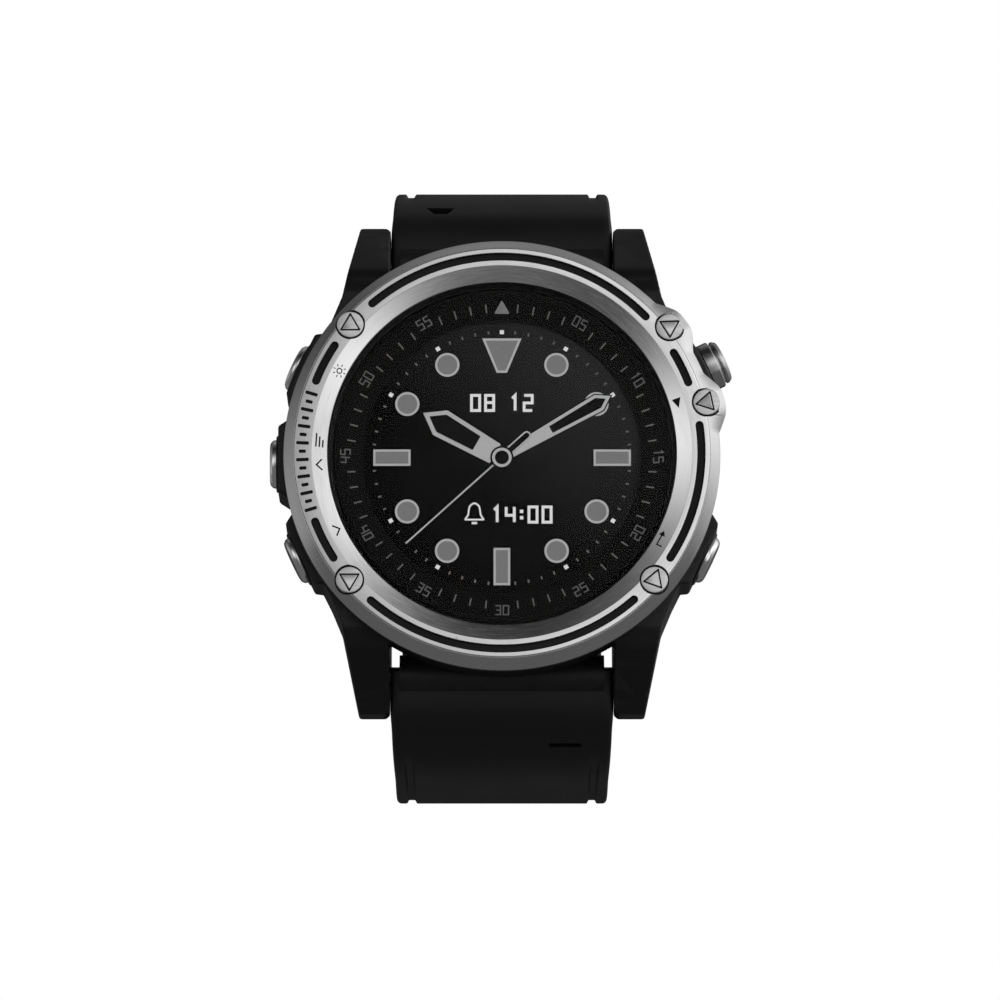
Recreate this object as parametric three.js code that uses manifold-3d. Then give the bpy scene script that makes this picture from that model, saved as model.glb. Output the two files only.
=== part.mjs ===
// A wristwatch-type dive computer on an open, pin-buckle strap, as separate pieces.
// Everything is drawn in the watch's own axes, in millimetres: x to 3 o'clock, y to 12 o'clock and
// z out of the dial, from the face of the sensor window. The group is then stood up, with 12 o'clock
// along +Z and the dial facing -Y.
import * as THREE from "three";
import { mergeVertices } from "three/addons/utils/BufferGeometryUtils.js";
import Module from "manifold-3d";

const wasm = await Module();
wasm.setup();

// ---- driving dimensions -------------------------------------------------------------------------
const CASE_RADIUS = 25.2;          // the drum under the bezel
const BEZEL_RADIUS = 25.5;
const THICKNESS = 17.8;            // sensor window to the top of the lens
const LENS_OPENING = 20.3;         // radius of the bezel's inner edge
const CAVITY_RADIUS = 20.4;
const STRAP_WIDTH = 26;
const LUG_BAR_Y = 24.5;            // distance of each lug bar from the centre
const LUG_BAR_Z = 4.9;
const LUG_INNER_X = 13.15;
const CLEAR = 0.1;                 // gap between two pieces that touch
const RING_STEPS = 48;
const SMALL_STEPS = 12;

const BEZEL_BOTTOM = 14.6;
const BEZEL_TOP = 17.4;
const CASE_TOP = BEZEL_BOTTOM - CLEAR;
const CASE_BOTTOM = 1.6;
const COVER_RADIUS = 19.6;
const COVER_LOW = 1.0;
const COVER_HIGH = 2.2;
const WINDOW_RADIUS = 8.8;
const REAR_OPENING = 14.6;
const REAR_FLOOR_LOW = 3.1;        // floor that carries the rear cover's screws
const REAR_FLOOR_HIGH = 4.8;
const LEDGE_RADIUS = 21.3;         // seat of the lens gasket
const LEDGE_Z = 13.65;
const COVER_SCREW_CIRCLE = 17.2;

const BUTTON_Z = 9.4;
const BUTTON_CAP = 2.85;           // cap radius
const BUTTON_STEM = 1.0;
const SPRING_SEAT = 22.6;          // floor of the recess under the cap, from the centre
const SEAL_LOW = 18;               // where the seal's wider bore starts
const SEAL_HIGH = 22;
const BUTTON_STEPS = 16;
const BOSS_FACE = 26.2;            // distance of the button boss face from the centre
const BOSS_BOTTOM = 5.6;
const BOSS_TOP = 13.1;
const BUTTONS = [
  { name: "start", angle: 25.5, reach: 28.9, grooved: true },
  { name: "light", angle: 154.4, reach: 27.2 },
  { name: "up", angle: 180, reach: 27.2 },
  { name: "down", angle: 205.6, reach: 27.2 },
  { name: "back", angle: -25.5, reach: 27.2 },
];
const BEZEL_SCREWS = [
  { name: "bezel_screw_upper_left", angle: 139.5, circle: 23.3 },
  { name: "bezel_screw_lower_left", angle: 220.5, circle: 23.3 },
  { name: "bezel_screw_lower_right", angle: 319.5, circle: 23.3 },
  { name: "guard_screw_upper", angle: 37.2, circle: 24.6 },
  { name: "guard_screw_lower", angle: 13.9, circle: 24.6 },
];
const BEZEL_SLOTS = [
  [43.7, 130.7], [20.7, 30.4], [-32.7, 7.8], [229.1, 311.3], [200.9, 212.7], [147.1, 158.8],
];
const SLOT_CIRCLE = 23.25;
const SLOT_WIDTH = 0.83;
const SLOT_DEPTH = 0.35;
const GUARD_TOP = 16.7;
const BEZEL_SCREW_HEAD = 1.57;
const BEZEL_SCREW_TIP = 11.2;
const THREAD_RADIUS = 0.55;        // the small screws' shank
const THREAD_BORE = 0.65;

// Each half leaves its lug bar nearly flat, dips over the lug and curls round the wrist.
const STRAP_START_HEADING = 8;
const STRAP_ROOT = [
  { length: 3.0, turn: 0 }, { length: 2.4, turn: 40 }, { length: 2.7, turn: 5 }, { length: 6.4, turn: 27 },
];
const SHORT_RUN = [
  ...STRAP_ROOT, { length: 7.5, turn: 22 }, { length: 29, turn: 78 }, { length: 20, turn: 0 },
];
const LONG_RUN = [...STRAP_ROOT, { length: 20.5, turn: 21 }, { length: 84, turn: 60 }];
const STRAP_HALF = STRAP_WIDTH / 2 - 0.05;
const KNUCKLE_RADIUS = 2.5;        // round of the strap about its lug bar
const KNUCKLE_HALF = 12;
const LUG_BAR_BORE = 1.2;
const LUG_SCREW_BORE = 1.75;
const LUG_SCREW_SEAT = 15.4;       // how far from the middle the lug's wider screw bore starts
const STRAP_THICK_ROOT = 3.6;
const STRAP_THICK_TAIL = 2.6;
const STRAP_THIN_FROM = 10;
const STRAP_THIN_TO = 40;
const HOLE_COUNT = 13;
const HOLE_PITCH = 5.6;
const HOLE_FIRST = 38;             // distance of the first hole along the long half
const HOLE_LENGTH = 2.4;
const HOLE_WIDTH = 4.4;
const LATCH_AT = 8.2;              // distance of the release latch along each half
const BUCKLE_BAR_RADIUS = 0.85;
const BUCKLE_BAR_BORE = 1.0;
const FRAME_REACH = 12.6;          // from the buckle bar to the far edge of the frame
const FRAME_OUTER_X = 15.6;
const FRAME_INNER_X = 13.4;
const FRAME_HALF_THICK = 1.3;
const TANG_HALF = 1.5;
const KEEPER_INNER_X = 13.35;
const KEEPER_WALL = 1.5;
const KEEPER_HALF = 2.8;
const FAR = 20;                    // far enough to cut right through a piece

const steel = (colour, roughness) =>
  new THREE.MeshStandardMaterial({ color: colour, roughness, metalness: 1 });
const plastic = (colour, roughness) =>
  new THREE.MeshStandardMaterial({ color: colour, roughness, metalness: 0 });
const SATIN_STEEL = [0xc9cbcd, 0.32];
const BLACK_POLYMER = [0x101112, 0.6];
const BLACK_SILICONE = [0x0b0c0e, 0.75];

const watch = new THREE.Group();
watch.rotation.x = Math.PI / 2;

function place(name, geometry, material) {
  const mesh = new THREE.Mesh(geometry, material);
  mesh.name = name;
  watch.add(mesh);
}

// ---- shape helpers ------------------------------------------------------------------------------
const radians = THREE.MathUtils.degToRad;
const polar = (radius, degrees) => [radius * Math.cos(radians(degrees)), radius * Math.sin(radians(degrees))];
const COVER_SCREW_SPOTS = [45, 135, 225, 315].map((angle) => polar(COVER_SCREW_CIRCLE, angle));
const shapeOf = (points) => new THREE.Shape(points.map(([a, b]) => new THREE.Vector2(a, b)));

// A solid of revolution about z from (radius, z) points.
function turned(points, steps = RING_STEPS) {
  const profile = points.map(([radius, height]) => new THREE.Vector2(radius, height));
  return new THREE.LatheGeometry(profile, steps).rotateX(Math.PI / 2);
}

// A closed ring of revolution: the profile runs round anticlockwise, seen with z up.
const ring = (points, steps) => turned([...points, points[0]], steps);
const flatRing = (inner, outer, low, high, steps) =>
  ring([[inner, low], [outer, low], [outer, high], [inner, high]], steps);
const rod = (radius, low, high, steps = SMALL_STEPS) =>
  turned([[0, low], [radius, low], [radius, high], [0, high]], steps);

// A flat outline in x and y, made thick along z.
const plate = (shape, low, high) =>
  new THREE.ExtrudeGeometry(shape, { depth: high - low, bevelEnabled: false, curveSegments: 6 })
    .translate(0, 0, low);

// An outline in y and z, made thick along x.
const YZ_TO_X = new THREE.Matrix4().makeBasis(
  new THREE.Vector3(0, 1, 0), new THREE.Vector3(0, 0, 1), new THREE.Vector3(1, 0, 0));
const slab = (points, low, high) => plate(shapeOf(points), low, high).applyMatrix4(YZ_TO_X);
const alongX = (geometry) => geometry.applyMatrix4(YZ_TO_X);
const block = (x0, x1, y0, y1, z0, z1) =>
  new THREE.BoxGeometry(x1 - x0, y1 - y0, z1 - z0).translate((x0 + x1) / 2, (y0 + y1) / 2, (z0 + z1) / 2);

// Turns a shape drawn about z so that its z runs outwards from the centre, at a button's place.
function outward(geometry, degrees) {
  const a = radians(degrees);
  const frame = new THREE.Matrix4().makeBasis(
    new THREE.Vector3(-Math.sin(a), Math.cos(a), 0), new THREE.Vector3(0, 0, 1),
    new THREE.Vector3(Math.cos(a), Math.sin(a), 0));
  return geometry.applyMatrix4(frame).translate(0, 0, BUTTON_Z);
}

function solid(geometry) {
  const bare = geometry.index ? geometry.toNonIndexed() : geometry.clone();
  bare.deleteAttribute("normal");
  bare.deleteAttribute("uv");
  const merged = mergeVertices(bare, 1e-4);
  return new wasm.Manifold(new wasm.Mesh({
    numProp: 3,
    vertProperties: merged.attributes.position.array,
    triVerts: new Uint32Array(merged.index.array),
  }));
}

function meshOf(manifold) {
  const { vertProperties, triVerts } = manifold.getMesh();
  const geometry = new THREE.BufferGeometry();
  geometry.setAttribute("position", new THREE.BufferAttribute(vertProperties, 3));
  geometry.setIndex(new THREE.BufferAttribute(triVerts, 1));
  return geometry.toNonIndexed();
}

// Joins the added shapes, then takes the cut ones away.
function carve(added, cuts) {
  const whole = added.map(solid).reduce((sum, next) => sum.add(next));
  return meshOf(cuts.map(solid).reduce((left, cut) => left.subtract(cut), whole));
}

// ---- case ---------------------------------------------------------------------------------------
// The lugs are where their outline in plan meets their outline from the side.
function lugs() {
  const plan = [
    [LUG_INNER_X, 13], [21.8, 13], [19.6, 17], [18.6, 18.6], [17.0, 28.2], [16.2, 29],
    [13.7, 29], [LUG_INNER_X, 28.5],
  ];
  const side = [
    [0, 1.6], [21.5, 1.6], [26.5, 1.2], [28.4, 1.5], [29, 2.4], [29, 5.6], [28.3, 6.6], [25.6, 9.4],
    [22.6, 12.4], [20, 13.3], [0, 13.3],
  ];
  const right = solid(plate(shapeOf(plan), 0, THICKNESS)).intersect(solid(slab(side, 0, 30)));
  const whole = right.add(right.mirror([1, 0, 0]));
  return whole.add(whole.mirror([0, 1, 0]));
}

function buttonBoss({ angle, grooved }) {
  const half = grooved ? 3.4 : 3.9;
  const foot = half + 0.8;
  const plan = [
    [22.5, -foot], [24.9, -foot], [BOSS_FACE, -half], [BOSS_FACE, half], [24.9, foot], [22.5, foot],
  ];
  return plate(shapeOf(plan), BOSS_BOTTOM, BOSS_TOP).rotateZ(radians(angle));
}

// The steel guard beside the start button is screwed down on this pad.
function guardPad() {
  const points = [-15.5, -12.5, -9, 9, 12.5, 15.5].map((turn) => polar(26.2, BUTTONS[0].angle + turn));
  const inner = [17, 9, 0, -9, -17].map((turn) => polar(23, BUTTONS[0].angle + turn));
  return plate(shapeOf([...points, ...inner]), 10.2, CASE_TOP);
}

function caseBody() {
  const drum = turned([
    [0, CASE_BOTTOM], [21.2, CASE_BOTTOM], [22.6, 2.6], [CASE_RADIUS, 8.6], [CASE_RADIUS, CASE_TOP],
    [0, CASE_TOP],
  ]);
  const hollow = turned([
    [0, REAR_FLOOR_HIGH], [CAVITY_RADIUS, REAR_FLOOR_HIGH], [CAVITY_RADIUS, LEDGE_Z],
    [LEDGE_RADIUS, LEDGE_Z], [LEDGE_RADIUS, CASE_TOP + 1], [0, CASE_TOP + 1],
  ]);
  const rear = turned([
    [0, 0], [COVER_RADIUS + CLEAR, 0], [COVER_RADIUS + CLEAR, REAR_FLOOR_LOW],
    [REAR_OPENING, REAR_FLOOR_LOW], [REAR_OPENING, REAR_FLOOR_HIGH + CLEAR], [0, REAR_FLOOR_HIGH + CLEAR],
  ]);
  const pocket = block(-LUG_INNER_X, LUG_INNER_X, 21.35, 31, 0, 8.8);
  const cuts = [hollow, rear, pocket, pocket.clone().rotateZ(Math.PI)];
  for (const { angle } of BUTTONS) {
    const [seal, stem, cap] = [1.65, BUTTON_STEM + CLEAR, BUTTON_CAP + 0.15];
    cuts.push(outward(turned([
      [0, SEAL_LOW], [seal, SEAL_LOW], [seal, SEAL_HIGH], [stem, SEAL_HIGH], [stem, SPRING_SEAT],
      [cap, SPRING_SEAT], [cap, 30], [0, 30],
    ], BUTTON_STEPS), angle));
  }
  for (const { angle, circle } of BEZEL_SCREWS) {
    const bore = rod(THREAD_BORE, BEZEL_SCREW_TIP - 0.3, CASE_TOP + 1, 8);
    cuts.push(bore.translate(...polar(circle, angle), 0));
  }
  for (const [x, y] of COVER_SCREW_SPOTS) {
    cuts.push(rod(0.6, 2, REAR_FLOOR_HIGH - 0.3, 8).translate(x, y, 0));
  }
  for (const side of [1, -1]) {
    const bore = turned([
      [0, -FAR], [LUG_SCREW_BORE, -FAR], [LUG_SCREW_BORE, -LUG_SCREW_SEAT], [LUG_BAR_BORE, -LUG_SCREW_SEAT],
      [LUG_BAR_BORE, LUG_SCREW_SEAT], [LUG_SCREW_BORE, LUG_SCREW_SEAT], [LUG_SCREW_BORE, FAR], [0, FAR],
    ], 16);
    cuts.push(alongX(bore).translate(0, side * LUG_BAR_Y, LUG_BAR_Z));
  }
  const shell = [drum, ...BUTTONS.map(buttonBoss), guardPad()].map(solid)
    .reduce((sum, next) => sum.add(next), lugs());
  return meshOf(cuts.map(solid).reduce((left, cut) => left.subtract(cut), shell));
}
place("case_body", caseBody(), plastic(...BLACK_POLYMER));

// ---- bezel and its screws -----------------------------------------------------------------------
function arcSlot([from, to]) {
  const shape = new THREE.Shape();
  const [a, b] = [radians(from), radians(to)];
  shape.absarc(0, 0, SLOT_CIRCLE + SLOT_WIDTH / 2, a, b, false);
  shape.absarc(0, 0, SLOT_CIRCLE - SLOT_WIDTH / 2, b, a, true);
  const steps = Math.max(2, Math.round((to - from) / 14));
  return new THREE.ExtrudeGeometry(shape, { depth: 1.4, bevelEnabled: false, curveSegments: steps })
    .translate(0, 0, BEZEL_TOP - SLOT_DEPTH);
}

// The guard swells out beside the start button and is cut flat in front of it.
function guardPlan(bulge) {
  const offsets = [[-19, 25.2], [-14.2, bulge], [-8.2, bulge], [-3.2, 25.5], [3.2, 25.5], [8.2, bulge],
    [14.2, bulge], [19, 25.2], [16, 22.5], [8, 22.5], [-8, 22.5], [-16, 22.5]];
  return shapeOf(offsets.map(([turn, radius]) => polar(radius, BUTTONS[0].angle + turn)));
}

function bezel() {
  const rim = ring([
    [21.2, BEZEL_BOTTOM], [BEZEL_RADIUS, BEZEL_BOTTOM], [BEZEL_RADIUS, 15.6], [24.25, BEZEL_TOP],
    [22.15, BEZEL_TOP - 0.05], [LENS_OPENING, 16.7], [LENS_OPENING, 16.05], [21.2, 16.05],
  ], 72);
  const guard = [plate(guardPlan(26.8), BEZEL_BOTTOM, 15.9), plate(guardPlan(26.1), 15.6, GUARD_TOP)];
  const seats = BEZEL_SCREWS.flatMap(({ angle, circle }) => [
    rod(1.7, 16.2, BEZEL_TOP + 1, 16).translate(...polar(circle, angle), 0),
    rod(0.7, 14, 17, 8).translate(...polar(circle, angle), 0),
  ]);
  return carve([rim, ...guard], [...BEZEL_SLOTS.map(arcSlot), ...seats]);
}
place("bezel", bezel(), steel(...SATIN_STEEL));

// A flat-headed screw along z with its head up: the recess in the head has the given number of sides.
function screw(headRadius, headLow, headHigh, shankRadius, tip, recess, sides) {
  const body = turned([
    [0, tip], [shankRadius, tip], [shankRadius, headLow], [headRadius, headLow],
    [headRadius, headHigh - 0.2], [headRadius - 0.2, headHigh], [0, headHigh],
  ], SMALL_STEPS);
  return carve([body], [rod(recess, headHigh - 0.3, headHigh + 1, sides)]);
}
BEZEL_SCREWS.forEach(({ name, angle, circle }, index) => {
  const geometry = screw(
    BEZEL_SCREW_HEAD, 16.3, BEZEL_TOP - 0.1, THREAD_RADIUS, BEZEL_SCREW_TIP, 1.15, 3);
  geometry.rotateZ(radians(40 + 70 * index));
  place(name, geometry.translate(...polar(circle, angle), 0), steel(...SATIN_STEEL));
});

// ---- lens, display and what stands behind it ----------------------------------------------------
const LENS_EDGE = 20.2;
const LENS_EDGE_TOP = 16.7;
const lensProfile = [[0, 14.95], [20.95, 14.95], [20.95, 15.9], [LENS_EDGE, 15.95]];
for (const radius of [LENS_EDGE, 15, 8, 0]) {
  const dome = 1 - (radius / LENS_EDGE) ** 2;
  lensProfile.push([radius, LENS_EDGE_TOP + (THICKNESS - LENS_EDGE_TOP) * dome]);
}
place("lens", turned(lensProfile), new THREE.MeshStandardMaterial({
  color: 0x222428, roughness: 0.05, metalness: 0, transparent: true, opacity: 0.3 }));
place("lens_gasket", flatRing(19.95, 21.1, LEDGE_Z + CLEAR, 14.85, 32), plastic(0x08080a, 0.8));
place("scale_ring", ring([
  [16.2, 13.5], [19.7, 13.5], [19.7, 14.7], [19.0, 14.7], [16.2, 13.85],
], 32), plastic(0x121314, 0.5));
place("display_panel", rod(18.3, 12.4, 13.35, 48), plastic(0x07080a, 0.2));
place("display_holder", ring([
  [15, 11.2], [20.1, 11.2], [20.1, 13.4], [18.6, 13.4], [18.6, 12.2], [15, 12.2],
], 36), plastic(0x1c1d1f, 0.6));

const boardCuts = BUTTONS.map(({ angle }) => block(17.6, 21, -2.2, 2.2, 8, 11).rotateZ(radians(angle)));
const boardParts = [
  rod(19.4, 9.6, 10.4, 36),
  block(-7, 1, -4, 5, 10.3, 11.1),
  block(4, 9, -6, -1, 10.3, 11),
  block(-11, -8.4, 5, 9, 10.3, 10.9),
];
place("main_board", carve(boardParts, boardCuts), plastic(0x0c3b22, 0.55));

const BATTERY = { halfX: 13, low: -11, high: 9, corner: 2 };
const batteryShape = new THREE.Shape();
const cornerSpots = [
  [1, BATTERY.low, -90], [1, BATTERY.high, 0], [-1, BATTERY.high, 90], [-1, BATTERY.low, 180],
];
for (const [side, y, start] of cornerSpots) {
  const x = side * (BATTERY.halfX - BATTERY.corner);
  const inward = y === BATTERY.low ? BATTERY.corner : -BATTERY.corner;
  batteryShape.absarc(x, y + inward, BATTERY.corner, radians(start), radians(start + 90));
}
place("battery", plate(batteryShape, 5, 9.2), steel(0x9a9ca0, 0.45));
place("vibration_motor", rod(4, 5, 7.8, 20).translate(0, 14.3, 0), steel(0xa8aaad, 0.4));

// ---- rear ---------------------------------------------------------------------------------------
const PORT = { x: 12.3, halfX: 1.8, halfY: 3.8 };
const DEPTH_PORT_Y = -12.2;
function rearCover() {
  const inner = WINDOW_RADIUS + CLEAR;
  const disc = ring([
    [inner, COVER_LOW], [15.4, COVER_LOW], [COVER_RADIUS, 1.5], [COVER_RADIUS, COVER_HIGH],
    [inner, COVER_HIGH],
  ], RING_STEPS);
  const holes = COVER_SCREW_SPOTS.flatMap(([x, y]) => [
    rod(THREAD_BORE, 0, 3, 8).translate(x, y, 0),
    rod(1.45, 0, 1.7, 12).translate(x, y, 0),
  ]);
  const port = block(PORT.x - PORT.halfX, PORT.x + PORT.halfX, -PORT.halfY, PORT.halfY, 0, 3);
  const inlets = [-1.2, 0, 1.2].map((x) => rod(0.4, 0, 3, 8).translate(x, DEPTH_PORT_Y, 0));
  return carve([disc], [...holes, port, ...inlets]);
}
place("rear_cover", rearCover(), steel(0xb9bbbe, 0.35));
COVER_SCREW_SPOTS.forEach(([x, y], index) => {
  const geometry = screw(1.35, -1.65, -1.15, 0.5, -4.2, 0.6, 6).rotateX(Math.PI);
  place(`rear_cover_screw_${index + 1}`, geometry.translate(x, y, 0), steel(...SATIN_STEEL));
});
place("rear_gasket", flatRing(15.0, 16.2, COVER_HIGH + CLEAR, REAR_FLOOR_LOW - CLEAR, 24),
  plastic(0x08080a, 0.8));
place("sensor_window", turned([[0, 0], [7.6, 0], [WINDOW_RADIUS, 0.9], [WINDOW_RADIUS, 1.5], [0, 1.5]], 32),
  plastic(0x141518, 0.12));
place("sensor_board", carve([rod(8.4, 1.9, 2.7, 32), block(-1.5, 1.5, -1.5, 1.5, 1.6, 2)], []),
  plastic(0x0c3b22, 0.55));
const sensorCan = turned([[0, 2.35], [2.3, 2.35], [2.3, 3.6], [1.7, 3.6], [1.7, 4.6], [0, 4.6]], 16);
place("depth_sensor", sensorCan.translate(0, DEPTH_PORT_Y, 0), steel(0xb0b2b4, 0.3));
place("charging_port", carve(
  [block(PORT.x - 1.6, PORT.x + 1.6, -3.6, 3.6, 1.15, 3.0)],
  [block(PORT.x - 1, PORT.x + 1, -3, 3, 0, 1.6)]), plastic(0x141517, 0.5));

// ---- buttons: cap and stem in one, with a spring, a seal ring and a bush round the stem ---------
const COIL = { radius: 1.9, turns: 2.5, length: 1.4, wire: 0.15 };
class Coil extends THREE.Curve {
  getPoint(t, target = new THREE.Vector3()) {
    const turn = t * COIL.turns * 2 * Math.PI;
    const along = SPRING_SEAT + 0.25 + COIL.length * t;
    return target.set(COIL.radius * Math.cos(turn), COIL.radius * Math.sin(turn), along);
  }
}
const wire = new THREE.Shape();
wire.absarc(0, 0, COIL.wire, 0, 2 * Math.PI);

for (const { name, angle, reach, grooved } of BUTTONS) {
  const neck = grooved
    ? [[BUTTON_CAP, reach - 2.0], [2.55, reach - 1.85], [2.55, reach - 1.35], [BUTTON_CAP - 0.03, reach - 1.2]]
    : [];
  const stem = turned([
    [0, 19.6], [1.5, 19.6], [1.5, 20.2], [BUTTON_STEM, 20.3], [BUTTON_STEM, 24.6],
    [BUTTON_CAP, 24.6], ...neck, [BUTTON_CAP, reach - 0.5], [BUTTON_CAP - 0.35, reach - 0.12], [0, reach],
  ], BUTTON_STEPS);
  place(`button_${name}`, outward(stem, angle), steel(0xc4c6c8, 0.3));
  const coil = new THREE.ExtrudeGeometry(wire, {
    extrudePath: new Coil(), steps: 24, curveSegments: 3, bevelEnabled: false });
  place(`button_${name}_spring`, outward(coil, angle), steel(0x9fa1a4, 0.35));
  const seal = new THREE.TorusGeometry(1.35, 0.24, 5, SMALL_STEPS).translate(0, 0, 21.65);
  place(`button_${name}_seal`, outward(seal, angle), plastic(0x0a0a0b, 0.7));
  const bush = flatRing(1.08, 1.58, 20.5, 21.25, SMALL_STEPS);
  place(`button_${name}_bush`, outward(bush, angle), steel(0x8c8e91, 0.4));
}

// ---- strap --------------------------------------------------------------------------------------
// The middle line of a strap half, as points with the heading there. y points away from the centre.
function middleLine(run) {
  const points = [{ at: 0, y: LUG_BAR_Y, z: LUG_BAR_Z, heading: STRAP_START_HEADING }];
  for (const { length, turn } of run) {
    const steps = Math.max(1, Math.round(Math.abs(turn) / 8));
    for (let step = 0; step < steps; step += 1) {
      const last = points.at(-1);
      const middle = radians(last.heading + turn / steps / 2);
      points.push({
        at: last.at + length / steps,
        y: last.y + (Math.cos(middle) * length) / steps,
        z: last.z - (Math.sin(middle) * length) / steps,
        heading: last.heading + turn / steps,
      });
    }
  }
  return points;
}

const thicknessAt = (at) => THREE.MathUtils.lerp(STRAP_THICK_ROOT, STRAP_THICK_TAIL,
  THREE.MathUtils.clamp((at - STRAP_THIN_FROM) / (STRAP_THIN_TO - STRAP_THIN_FROM), 0, 1));

// Where the middle line is at a distance from the lug bar.
function spotAt(line, at) {
  const next = line.findIndex((point) => point.at >= at);
  const [a, b] = [line[Math.max(next - 1, 0)], line[next]];
  const part = b.at === a.at ? 0 : (at - a.at) / (b.at - a.at);
  const mix = (key) => THREE.MathUtils.lerp(a[key], b[key], part);
  return { y: mix("y"), z: mix("z"), heading: mix("heading") };
}

// Moves a shape drawn with y along the strap and z out of its outer face to its place on the line.
function onStrap(geometry, spot) {
  return geometry.rotateX(-radians(spot.heading)).translate(0, spot.y, spot.z);
}

function strapBody(line, from) {
  const part = line.filter((point) => point.at >= from);
  const offset = (side) => ({ at, y, z, heading }) => {
    const half = (side * thicknessAt(at)) / 2;
    return [y + half * Math.sin(radians(heading)), z + half * Math.cos(radians(heading))];
  };
  return slab([...part.map(offset(-1)), ...part.toReversed().map(offset(1))], -STRAP_HALF, STRAP_HALF);
}

const STRAP_FROM = 1.6;            // where the full width starts, beyond the lug bar
const knuckle = () =>
  alongX(rod(KNUCKLE_RADIUS, -KNUCKLE_HALF, KNUCKLE_HALF, 20)).translate(0, LUG_BAR_Y, LUG_BAR_Z);
const neck = (line) => onStrap(block(-KNUCKLE_HALF, KNUCKLE_HALF, 0, 4.4, -1.75, 1.75), line[0]);
const barBore = () => alongX(rod(1.25, -FAR, FAR, 16)).translate(0, LUG_BAR_Y, LUG_BAR_Z);
const latchPocket = (line) => onStrap(block(-4.2, 4.2, -2.6, 2.8, -3, -0.55), spotAt(line, LATCH_AT));
const latch = (line) => onStrap(carve([
  block(-4, 4, -2.4, 1.2, -1.6, -0.75),
  block(-3.2, 3.2, -0.9, -0.3, -2.0, -1.5),
  block(-3.2, 3.2, 0.2, 0.8, -2.0, -1.5),
], []), spotAt(line, LATCH_AT));

const shortLine = middleLine(SHORT_RUN);
const longLine = middleLine(LONG_RUN);
const tail = shortLine.at(-1);
const BUCKLE_Y = tail.y - 2.0;     // the buckle bar; the strap's straight end runs along -y
const BUCKLE_Z = tail.z;
const TAIL_HALF = STRAP_THICK_TAIL / 2;

const buckleBore = () => alongX(rod(BUCKLE_BAR_BORE, -FAR, FAR));

function strapShort() {
  const end = alongX(rod(2.2, -STRAP_HALF, STRAP_HALF, 16)).translate(0, BUCKLE_Y, BUCKLE_Z);
  const web = block(
    -STRAP_HALF, STRAP_HALF, BUCKLE_Y, tail.y + 1, BUCKLE_Z - TAIL_HALF, BUCKLE_Z + TAIL_HALF);
  const bore = buckleBore().translate(0, BUCKLE_Y, BUCKLE_Z);
  const tangSlot = block(-2, 2, BUCKLE_Y - 4, BUCKLE_Y + 4.2, BUCKLE_Z - 4, BUCKLE_Z + 4);
  return carve([strapBody(shortLine, STRAP_FROM), knuckle(), neck(shortLine), end, web],
    [barBore(), bore, tangSlot, latchPocket(shortLine)]);
}

function strapLong() {
  const holes = Array.from({ length: HOLE_COUNT }, (_, index) => onStrap(
    block(-HOLE_WIDTH / 2, HOLE_WIDTH / 2, -HOLE_LENGTH / 2, HOLE_LENGTH / 2, -3, 3),
    spotAt(longLine, HOLE_FIRST + HOLE_PITCH * index)));
  const end = longLine.at(-1);
  const corners = [1, -1].map((side) => onStrap(
    plate(shapeOf([[side * 7, 1], [side * 14, 1], [side * 14, -7]]), -3, 3), end));
  return carve([strapBody(longLine, STRAP_FROM), knuckle(), neck(longLine)],
    [barBore(), ...holes, ...corners, latchPocket(longLine)]);
}

const turnHalf = (geometry) => geometry.rotateZ(Math.PI);
place("strap_short", strapShort(), plastic(...BLACK_SILICONE));
place("strap_long", turnHalf(strapLong()), plastic(...BLACK_SILICONE));
place("strap_latch_12", latch(shortLine), steel(0x8f9194, 0.4));
place("strap_latch_6", turnHalf(latch(longLine)), steel(0x8f9194, 0.4));

// The bar is a rod with a threaded bore in each end for its screw.
const BAR = { radius: 1.1, half: 15.2, bore: 0.62, boreFrom: 11 };
const lugBar = () => alongX(turned([
  [0, -BAR.boreFrom], [BAR.bore, -BAR.boreFrom], [BAR.bore, -BAR.half], [BAR.radius, -BAR.half],
  [BAR.radius, BAR.half], [BAR.bore, BAR.half], [BAR.bore, BAR.boreFrom], [0, BAR.boreFrom],
], SMALL_STEPS));
for (const [clock, side] of [["12", 1], ["6", -1]]) {
  place(`lug_bar_${clock}`, lugBar().translate(0, side * LUG_BAR_Y, LUG_BAR_Z), steel(0xa9abae, 0.3));
  for (const [hand, across] of [["right", 1], ["left", -1]]) {
    const geometry = alongX(screw(1.6, 15.5, 16.3, 0.5, 11.4, 0.7, 6));
    if (across < 0) {
      turnHalf(geometry);
    }
    geometry.translate(0, side * LUG_BAR_Y, LUG_BAR_Z);
    place(`lug_screw_${clock}_${hand}`, geometry, steel(...SATIN_STEEL));
  }
}

// ---- keepers and buckle -------------------------------------------------------------------------
// A keeper is a loop round the strap with room for a second layer on the outer side.
function keeper(middleY) {
  const [inner, outer] = [KEEPER_INNER_X, KEEPER_INNER_X + KEEPER_WALL];
  const [low, high] = [-4.6, TAIL_HALF + 0.25];
  const outline = shapeOf([
    [-outer, low], [-inner, low - KEEPER_WALL], [inner, low - KEEPER_WALL], [outer, low],
    [outer, high], [inner, high + KEEPER_WALL], [-inner, high + KEEPER_WALL], [-outer, high],
  ]);
  const hoop = plate(outline, -KEEPER_HALF, KEEPER_HALF).rotateX(Math.PI / 2);
  return carve([hoop], [block(-inner, inner, -4, 4, low, high)]).translate(0, middleY, BUCKLE_Z);
}
place("keeper_fixed", keeper(tail.y + 6.4), plastic(...BLACK_SILICONE));
place("keeper_free", keeper(tail.y + 15.2), plastic(...BLACK_SILICONE));

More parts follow.
